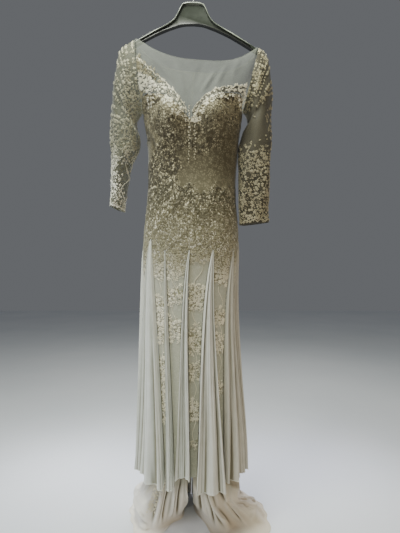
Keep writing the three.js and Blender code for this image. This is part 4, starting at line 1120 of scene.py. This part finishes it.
SKIRT_TOP, SKIRT_END, SKIRT_ROW = -872.0, -1440.0, 9.5
parts = []
for i, (_, dense, *clusters) in enumerate(CLUSTERS):
    anchors, shapes = [], []
    for height in np.arange(SKIRT_TOP, SKIRT_END, -SKIRT_ROW):
        left, right = [float(edge) for edge in gore_edges(i, np.array(height))]
        ends = dressed(np.array([left, right]), np.array([height, height]))[0]
        wide = float(np.linalg.norm(ends[1] - ends[0]))
        if wide < 7:
            continue
        count = max(1, round(wide / 12.5))
        size = min(0.66, wide / count / 19)
        for k in range(count):
            level = height + chance.uniform(-9, 9)
            if level < dense and not any(b < level < a for a, b in zip(clusters[::2], clusters[1::2])):
                continue
            shift = 0.12 * (-1) ** int(height / SKIRT_ROW)
            share = (k + 0.5 + shift + chance.uniform(-0.08, 0.08)) / count
            kind = one_of(MIXTURE if size > 0.45 else SMALL)
            lower = height + chance.uniform(-3, 3)
            turn = chance.uniform(0, 360) if size > 0.5 else chance.uniform(-35, 35)
            anchors.append((mix(left, right, share), lower, turn, size * chance.uniform(0.85, 1.1)))
            shapes.append(MOTIFS[kind])
    parts.append(lay_on(dressed, anchors, shapes))
    stem = np.linspace(dense - 2, max(clusters[-1], SKIRT_END), 90)
    left, right = gore_edges(i, stem)
    parts.append(vine(dressed, np.c_[mix(left, right, 0.5 + 0.2 * np.sin(stem / 14 + i)), stem], 1.6, 1.2))
place(worked_piece("lace_motifs_skirt", parts), slot="lace", material=cord_work)


def cups_keep(angle, height, at):
    below = top_edge(angle) - height
    deep = np.where(angle > 30, 20, 34) + 9 * np.sin(angle / 5)
    return np.where((below > -2) & (below < deep) & (angle > -54 - below / 4), 0.95, 0)


def shoulder_keep(angle, height, at):
    return np.where((height > top_edge(angle)) & (at[:, 2] < -372), 0.9, 0)


# The cups' top edge and the two rows down the V take the pale edging finish, while the bodice lace around
# them takes its painted shade; past the left cup's side the lace stays with the bodice, in that shade.
parts = [
    scattered(dressed, (-78, 72), (-380, -470), 10.5, cups_keep, 0.56),
    scattered(sheer, (70, 88), (-412, -300), 11, shoulder_keep, 0.56),
]
for x in (-5, 4):
    anchors, shapes = [], []
    for k, z in enumerate(np.arange(-432.0 - x, -585, -7.5)):
        angle = x / 1.4 + chance.uniform(-1, 1)
        turn = chance.uniform(-50, 50)
        anchors.append((angle, z, turn, chance.uniform(0.34, 0.46)))
        shapes.append(MOTIFS[SMALL[k % 3]])
    parts.append(lay_on(dressed, anchors, shapes))
place(worked_piece("lace_motifs_cups", parts), slot="lace", material=edging_work)


# Lace edging.
# A border of the same lace along each cup, laid on the yoke. Its scalloped top is corded, and it
# climbs to the shoulder, steeply on the right-hand side.
# columns: name, node, from degrees, to degrees, height in the middle, at the shoulder, climb
EDGINGS = [
    ("lace_border_left", "lace_edging_left", -78, -6, 16, 132, 1.5),
    ("lace_border_right", "lace_edging_right", 0, 72, 13, 40, 6),
]
SCALLOPS = 8
BORDER_LIFT = 1.1
# The lace near the V, all of the right border, and the lace near a line from the V to the left sleeve are
# painted as lit, in the pale edging finish; the rest of the left border is painted as shade, in the bodice's
# finish. The line: share of the way, and its height.
LIT_LINE_SHARES = [0.3, 0.6, 1]
LIT_LINE_HEIGHTS = [-400, -360, -334]
for name, node, start, end, low, high, climb in EDGINGS:

    def climbed(across):
        """How far it is to the shoulder, and how tall the border is there."""
        to_shoulder = 1 - across if abs(start) > abs(end) else across
        return to_shoulder, mix(low, high, to_shoulder**climb)

    def border(across, share):
        angle = mix(start, end, across)
        tall = climbed(np.clip(across, 0, 1))[1] + 7 * np.abs(np.sin(np.pi * SCALLOPS * across))
        real = top_height(from_middle(angle)) + 2 + share * tall
        at, out = sheer(angle, nominal(angle, real))
        return at + out * BORDER_LIFT, out

    across, share = np.linspace(0, 1, 161)[None, :], np.linspace(0, 1, 9)[:, None]
    net, size, area = grid_piece(name, border(across, share)[0])
    # The border's net is a sleeve's net, with its painted shade.
    place(net, node, slot="lace", material=shaded_sleeve_nets[start >= 0])
    path = np.c_[np.linspace(0, 1, 321), 0.93 + 0.03 * np.sin(np.arange(321) / 1.9)]
    parts = [vine(border, path, 1.8, 1.4)]
    count = int(size[0] * 1000 / 8)
    lit_motifs, shaded_motifs = ([], []), ([], [])
    for k in range(count):
        x = (k + 0.5) / count
        angle = float(mix(start, end, x))
        base = float(top_height(from_middle(np.array(angle))))
        to_shoulder, tall = climbed(x)
        line = np.interp(to_shoulder, LIT_LINE_SHARES, LIT_LINE_HEIGHTS)
        tall = tall + 3
        rows_here = max(1, round(tall / 11))
        for j in range(rows_here):
            real = base + 4 + (j + 0.5) / rows_here * (tall - 3) + chance.uniform(-4, 4)
            kind = one_of(["leaf", "flower", "small_flower", "leaf", "curl"])
            turn = chance.uniform(0, 360)
            if j == rows_here - 1:
                real = real + chance.uniform(0, 7)
                kind = one_of(["leaf", "bud", "spray"])
                turn = chance.uniform(-50, 50)
            # Painted light on the motifs near the line, near the V and on the right border; painted shade on
            # the rest.
            is_lit = to_shoulder < 0.4 or abs(real - line) < 26 or start >= 0
            anchors, shapes = lit_motifs if is_lit else shaded_motifs
            beside = angle + chance.uniform(-1.2, 1.2)
            up = float(nominal(np.array(angle), np.array(real)))
            anchors.append((beside, up, turn, chance.uniform(0.4, 0.58)))
            shapes.append(MOTIFS[kind])
    parts.append(lay_on(sheer, *lit_motifs, 1.5))
    corded = [place(worked_piece(name + "_cords", parts), slot="lace", material=edging_work)]
    # The motifs in painted shade take the bodice's finish.
    if shaded_motifs[0]:
        lower = worked_piece(name + "_cords_in_painted_shade", [lay_on(sheer, *shaded_motifs, 1.5)])
        corded.append(place(lower, slot="lace", material=cord_work))


# Sleeve lace.
# The sleeves' lace is the same work on the sheer tulle: it covers the left sleeve, and on the right
# sleeve the cap and everything below the elbow.
def away_from(middle, at, out):
    """Directions at points, turned to face away from a middle."""
    return np.where(((at - middle) * out).sum(-1, keepdims=True) < 0, -out, out)


for name, node, rows, side, sense in SLEEVES:

    def arm(turn, step):
        at = sleeve(rows, side, turn, step)
        across = sleeve(rows, side, turn + 1.5, step) - sleeve(rows, side, turn - 1.5, step)
        along = sleeve(rows, side, turn, step + 0.03) - sleeve(rows, side, turn, step - 0.03)
        ends = [sleeve(rows, side, np.full_like(turn, angle), step) for angle in (0.0, 180.0)]
        return at, away_from((ends[0] + ends[1]) / 2, at, unit(np.cross(across, along)))

    def arm_keep(turn, step, at):
        x, z = at[:, 0], at[:, 2]
        if side < 0:
            return 0.9 - 0.65 * fade(z, -690, -556, 30) * np.clip((x + 226) / 14, 0, 1)
        return 0.9 - fade(z, -566, -372 + 0.5 * np.minimum(0, 200 - x), 60) * np.where(x < 218, 0.86, 0.45)

    parts = [scattered(arm, (0, 360), (0.35, 10.85), 9.8, arm_keep, 0.48)]
    for k in range(3):
        step = np.linspace(6.4 if side < 0 else 8.0, 10.9, 90)
        parts.append(vine(arm, np.c_[120 * k + 30 + 22 * np.sin(step * 4.4 + k), step], 1.4))
    cuff = np.linspace(0, 360, 241)
    parts.append(vine(arm, np.c_[cuff, 10.93 - 0.16 * np.abs(np.sin(np.radians(cuff * 5)))], 2.8, 1.8))
    lace = worked_piece(f"lace_motifs_{node}", parts)
    place(lace, slot="sleeve_lace", material=sleeve_work[side > 0])


# Covered buttons.
# Twelve small buttons covered in satin down the back opening, each held by a loop of fine cord
# from the opening's left edge.
# Silk satin over a domed shank button: smooth, with a soft highlight and tiny puckers at the rim.
satin, tree, shader = new_material("silk_satin", Roughness=0.38, Sheen_Weight=0.3)
where = add_node(tree, "TexCoord").outputs["Object"]
slub = add_node(tree, "TexNoise", {"Vector": where, "Scale": 700.0, "Detail": 3.0}).outputs["Fac"]
tone = add_node(tree, "ValToRGB", {"Fac": slub}, [(0.3, "#D9D1BE"), (0.7, "#E8E2D2")]).outputs["Color"]
tree.links.new(tone, shader.inputs["Base Color"])
bump = add_node(tree, "Bump", {"Height": slub, "Strength": 0.2, "Distance": 0.0003}).outputs[0]
tree.links.new(bump, shader.inputs["Normal"])
BUTTON_RADIUS = 5.5
LOOP_RADIUS = 6.3
SEAT = 1.9  # from the middle of a button back to the cloth
for i in range(12):
    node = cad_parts[f"button_{i + 1:02d}"]
    corners = np.array([node.matrix_world @ v.co for v in node.data.vertices])
    middle = (corners.max(0) + corners.min(0)) / 2
    axis = np.linalg.svd(corners - corners.mean(0))[2][-1]
    axis = axis if axis[1] > 0 else -axis
    seat = middle - axis * SEAT * MM
    facing = Vector(axis).to_track_quat("Z", "Y").to_euler()
    bpy.ops.mesh.primitive_uv_sphere_add(
        segments=20, ring_count=12, radius=BUTTON_RADIUS * MM, location=seat, rotation=facing
    )
    button = bpy.context.object
    button.name = button.data.name = f"covered_button_{i + 1:02d}"
    bpy.ops.object.mode_set(mode="EDIT")
    bpy.ops.mesh.bisect(plane_co=seat, plane_no=axis, clear_inner=True, use_fill=True)
    bpy.ops.object.mode_set(mode="OBJECT")
    button.scale = (1, 1, 0.7)
    bpy.ops.object.transform_apply(location=True, rotation=True, scale=True)
    bpy.ops.object.shade_smooth_by_angle(angle=math.radians(40))
    place(button, f"button_{i + 1:02d}", slot="satin", material=satin)
    button.select_set(False)
    right = np.cross(axis, [0, 0, 1.0])
    right /= np.linalg.norm(right)
    over = np.cross(right, axis)
    bend = np.radians(np.linspace(-130, 130, 15))[:, None]
    ring = seat / MM + axis * 0.7 + LOOP_RADIUS * (-right * np.cos(bend) + over * np.sin(bend))
    root = seat / MM + axis * 0.3 + right * 10
    loop = tube(f"button_loop_{i + 1:02d}", [root - over, *ring, root + over], 0.55)
    place(loop, slot="satin", material=satin)


# Under layer.
# Four panels of the same chiffon, gathered inside the gores, that spread on the floor: a puff on
# the left, and wide smooth panels with pressed folds on the right. The hem is rolled.
def out_of_the_dark(tree, cloth_map, height):
    """It is duller and warmer than the godets, and the hems above keep its top in the dark."""
    lit = {"Value": height, "From Min": (HEM - 2) * MM, "From Max": (HEM - 92) * MM}
    lit = add_node(tree, "MapRange", lit).outputs[0]
    stops = [(0.0, "#7C7663"), (0.5, "#B3AC98"), (1.0, "#EEE9DD")]
    return add_node(tree, "ValToRGB", {"Fac": lit}, stops).outputs["Color"]


# The under layer: painted shade in its creases, and painted warm light on the right.
layer_chiffon = silk("silk_chiffon_under_layer", out_of_the_dark, "#8F8872", 0.08, "#DFD8CB")
# columns: angle, x and y on the floor, share of the way there at three levels, reach of the hem
TRAIN = [
    (-200, 40, 152, 0.25, 0.4, 0.7, 22),
    (-180, -10, 152, 0.25, 0.4, 0.7, 24),
    (-150, -90, 148, 0.28, 0.42, 0.7, 24),
    (-125, -148, 130, 0.35, 0.6, 0.8, 22),
    (-105, -181, 105, 0.45, 0.85, 0.95, 20),
    (-90, -192, 72, 0.5, 0.95, 1.02, 18),
    (-75, -188, 34, 0.5, 0.97, 1.04, 14),
    (-62, -177, -2, 0.5, 0.97, 1.04, 14),
    (-52, -162, -34, 0.48, 0.9, 1.02, 20),
    (-43, -139, -48, 0.44, 0.7, 0.9, 26),
    (-33, -108, -36, 0.38, 0.5, 0.7, 18),
    (-23, -72, -2, 0.36, 0.46, 0.66, 8),
    (-14, -44, 26, 0.36, 0.46, 0.66, 5),
    (-4, -28, 78, 0.36, 0.46, 0.66, 4),
    (2, 0, 92, 0.36, 0.46, 0.66, 4),
    (7, 16, 46, 0.36, 0.46, 0.66, 5),
    (13, 40, -2, 0.34, 0.44, 0.66, 8),
    (19, 70, -36, 0.3, 0.4, 0.64, 24),
    (25, 104, -46, 0.28, 0.37, 0.64, 40),
    (32, 138, -32, 0.22, 0.3, 0.62, 52),
    (41, 170, -30, 0.16, 0.24, 0.62, 58),
    (51, 197, -20, 0.09, 0.18, 0.66, 46),
    (61, 214, 2, 0.05, 0.14, 0.72, 22),
    (73, 221, 30, 0.04, 0.13, 0.78, 12),
    (88, 218, 70, 0.05, 0.15, 0.78, 14),
    (108, 190, 112, 0.08, 0.2, 0.75, 20),
    (135, 122, 142, 0.15, 0.3, 0.7, 22),
    (160, 40, 152, 0.22, 0.38, 0.7, 22),
    (180, -10, 152, 0.25, 0.4, 0.7, 24),
]
LAYER_LEVELS = [-1440, HEM - 4, -1560, -1600, -1618, -1655, FLOOR + 9, FLOOR + 0.8, FLOOR + 0.8]
LAYER_INSET = 1.6
train_x, train_y, train_mid, train_brim, train_low, train_hem = [curve(TRAIN, i) for i in range(1, 7)]
LAYER_MIDDLE = np.array([0, 50, -1500])
LAYER_FRONT = 60  # the front of the spread cloth lies before this Y


def layer_level(angle, level):
    height = LAYER_LEVELS[min(level, 1)]
    at = body(angle, np.full_like(angle, height))
    at = at - LAYER_INSET * normals(body, angle, np.full_like(angle, height), 0.5, 0.5)
    ahead = np.cos(np.radians(angle))
    at[..., 1] *= np.where(ahead > 0, mix(1, 0.46, np.minimum(1, ahead * 1.6)), 1)
    if level > 1:
        floor_line = np.stack([train_x(angle), train_y(angle), 0 * angle], -1)
        near = [train_x(angle + 1) - train_x(angle - 1), train_y(angle + 1) - train_y(angle - 1)]
        near = unit(np.stack(near, -1))
        share = [0.1, train_mid(angle), train_brim(angle), train_low(angle), 1, 1, 1][level - 2]
        share = np.asarray(share)[..., None] if level < 6 and level > 2 else share
        at = mix(at, floor_line, share)
        fold = 3 * min(1, (level - 1) / 4) * np.sin(2 * np.pi * angle / 18)
        away = fold + [0, 0, 0, 0, 0, 0.45, 1][level - 2] * train_hem(angle)
        at[..., 0] += near[..., 1] * away
        at[..., 1] -= near[..., 0] * away
    at[..., 2] = LAYER_LEVELS[level]
    return at


# Folds in the spread cloth, from point to point of the front or back as seen (X, Z).
# columns: front, from x, from z, to x, to z, width, height
LAYER_FOLDS = [
    (1, -86, -1535, -120, -1688, 6, 17),
    (1, -66, -1528, -96, -1688, 5, -15),
    (1, -50, -1525, -78, -1690, 5, 18),
    (1, -36, -1525, -54, -1690, 4, -14),
    (1, -19, -1525, -34, -1690, 5, 15),
    (1, -104, -1534, -158, -1600, 7, 11),
    (1, -150, -1648, -196, -1626, 5, 11),
    (1, -128, -1672, -184, -1650, 5, -8),
    (1, -118, -1688, -176, -1674, 5, 8),
    (1, 8, -1545, 22, -1690, 4, -11),
    (1, 20, -1545, 44, -1690, 4, 10),
    (1, 31, -1550, 66, -1690, 4, -15),
    (1, 40, -1550, 62, -1630, 5, 11),
    (1, 60, -1616, 112, -1688, 5, 15),
    (1, 68, -1545, 98, -1616, 5, -14),
    (1, 96, -1604, 150, -1674, 5, -15),
    (1, 84, -1545, 150, -1584, 6, 8),
    (1, 146, -1580, 200, -1604, 6, 7),
    (1, 120, -1640, 190, -1618, 10, 6),
    (1, 170, -1690, 214, -1620, 7, 6),
    (0, -60, -1530, -110, -1690, 9, 7),
    (0, -34, -1530, -60, -1690, 7, -7),
    (0, 0, -1530, 10, -1690, 9, 7),
    (0, 30, -1530, 66, -1690, 7, -7),
    (0, 60, -1530, 120, -1690, 9, 7),
    (0, -110, -1540, -165, -1680, 9, -6),
    (0, 100, -1540, 165, -1680, 9, -6),
]


def square_to(points):
    """Directions square to a grid of points, away from the middle of the spread cloth."""
    out = unit(np.cross(np.gradient(points, axis=1), np.gradient(points, axis=0)))
    return away_from(LAYER_MIDDLE, points, out)


def layer(from_angle, to_angle, columns, rows):
    angle = np.linspace(from_angle, to_angle, columns)
    levels = np.array([layer_level(angle, k) for k in range(9)])
    levels = np.concatenate([levels[:1], levels, levels[-1:]])
    made = []
    for along in np.linspace(0, 8, rows):
        i = min(int(along), 7)
        t = along - i
        weights = [
            (-t + 2 * t * t - t**3) / 2,
            (2 - 5 * t * t + 3 * t**3) / 2,
            (t + 4 * t * t - 3 * t**3) / 2,
            (-t * t + t**3) / 2,
        ]
        made.append(sum(w * levels[i + k] for k, w in enumerate(weights)))
    made = np.array(made)
    out = square_to(made)
    share = np.clip((made[..., 2] - FLOOR - 1) / 40, 0, 1) * np.clip((-1512 - made[..., 2]) / 20, 0, 1)
    rise = along_lines(made, LAYER_FOLDS, made[..., 1] < LAYER_FRONT) * share
    soft = np.sin(angle / 3.7 + 2 * np.sin(angle / 9))[None] * 1.6 + np.sin(angle / 1.9)[None] * 0.7
    made += out * (rise + soft * share)[..., None]
    made[..., 2] = np.maximum(made[..., 2], FLOOR + 0.6)
    return made, clear_of_creases(rise, 5, 5)


# columns: name, node, from degrees, to degrees, columns of the mesh
LAYERS = [
    ("under_layer_front_left", "train_front_left", -90, -4, 200),
    ("under_layer_front_right", "train_front_right", 2, 90, 200),
    ("under_layer_back_right", "train_back_right", 90, 180, 120),
    ("under_layer_back_left", "train_back_left", -180, -90, 120),
]
# A band of the skirt's lace runs down the left panel, from below the hem to the spread cloth.
# columns: from x, from z, to x, to z, width
BAND = (-99, -1544, -127, -1634, 30)
FIRST_ROW = 100  # lay_on takes a finer step below 50


def on_panel(points):
    """A panel as a surface of its own columns and rows, which are counted from FIRST_ROW."""
    out = square_to(points)

    def surface(column, row):
        column = np.clip(column, 0, points.shape[1] - 1.001)
        row = np.clip(row - FIRST_ROW, 0, points.shape[0] - 1.001)
        i, j = row.astype(int), column.astype(int)
        u, v = (row - i)[:, None], (column - j)[:, None]

        def between(grid):
            return mix(mix(grid[i, j], grid[i, j + 1], v), mix(grid[i + 1, j], grid[i + 1, j + 1], v), u)

        return between(points), unit(between(out))

    return surface


def lace_band(points):
    """Small motifs down the panel along BAND."""
    x0, z0, x1, z1, width = BAND
    anchors, shapes = [], []
    for along in np.linspace(0, 1, 13):
        for aside in (-0.38, -0.13, 0.13, 0.38):
            x = mix(x0, x1, along) + aside * width + chance.uniform(-2, 2)
            z = mix(z0, z1, along) + chance.uniform(-3, 3)
            away = np.hypot(points[..., 0] - x, points[..., 2] - z)
            away = away + np.where(points[..., 1] < LAYER_FRONT, 0, 1000)
            row, column = np.unravel_index(np.argmin(away), away.shape)
            anchors.append((column, row + FIRST_ROW, chance.uniform(0, 360), chance.uniform(0.4, 0.55)))
            shapes.append(MOTIFS[one_of(["flower", "leaf", "curl", "small_flower"])])
    return lay_on(on_panel(points), anchors, shapes, 0.8)


for name, node, start, end, columns in LAYERS:
    points, clear = layer(start + 0.2, end - 0.2, columns, 70)
    panel, size, area = grid_piece(name, points, worked=clear)
    place(panel, node, slot="chiffon", material=layer_chiffon)
    hem = tube(f"rolled_hem_{node}", points[-1] + np.array([0, 0, 0.5]), 0.9)
    place(hem, slot="chiffon", material=layer_chiffon)
    if node == "train_front_left":
        band = worked_piece("lace_band_under_layer", [lace_band(points)])
        place(band, slot="lace", material=cord_work)


# Light and floor.
# A pale floor in a grey room, a large soft light high on the left, weaker ones low on the left, in
# front and on the right, and two behind that lift the edges and the floor.
bpy.ops.mesh.primitive_plane_add(size=12, location=(0, 0, FLOOR * MM))
floor = bpy.context.object
floor.name = "floor"
paint, tree, shader = new_material("pale_floor", Roughness=0.6)
where = add_node(tree, "TexCoord").outputs["Object"]
cloudy = add_node(tree, "TexNoise", {"Vector": where, "Scale": 1.5, "Detail": 3.0}).outputs["Fac"]
tone = add_node(tree, "ValToRGB", {"Fac": cloudy}, [(0.3, "#E4E7EC"), (0.7, "#ECEEF2")]).outputs["Color"]
tree.links.new(tone, shader.inputs["Base Color"])
floor.data.materials.append(paint)
floor.select_set(False)

# columns: name, x, y, z, width, depth, power, colour, aimed at z
LIGHTS = [
    ("key", -320, -480, 860, 560, 560, 56, "#FAFFF1", -450),
    ("low", -1350, -850, -1000, 600, 600, 9, "#EEF4FF", -1250),
    ("front", -500, -2600, -300, 1500, 1500, 6, "#FFF6E8", -900),
    ("fill", 1500, -900, -1300, 1200, 1200, 7, "#FFE0BC", -1300),
    ("rim", 400, 1700, 500, 1200, 1200, 12, "#FFFFFF", -800),
    ("wash", 0, 330, -1330, 1500, 360, 4.4, "#EFF3FF", FLOOR),
]
for name, x, y, z, width, depth, power, colour, aim in LIGHTS:
    light = bpy.data.lights.new(name, "AREA")
    light.shape = "RECTANGLE"
    light.size = width * MM
    light.size_y = depth * MM
    light.energy = power
    light.color = from_hex(colour)[:3]
    lamp = in_scene(name, light)
    lamp.location = (x * MM, y * MM, z * MM)
    aimed = Vector((0, y * MM if name == "wash" else 0, aim * MM))
    lamp.rotation_euler = (aimed - lamp.location).to_track_quat("-Z", "Y").to_euler()
world = bpy.data.worlds.new("studio")
bpy.context.scene.world = world
world.use_nodes = True
background = world.node_tree.nodes["Background"].inputs
background["Color"].default_value = from_hex("#C4C8CE")
background["Strength"].default_value = 0.24
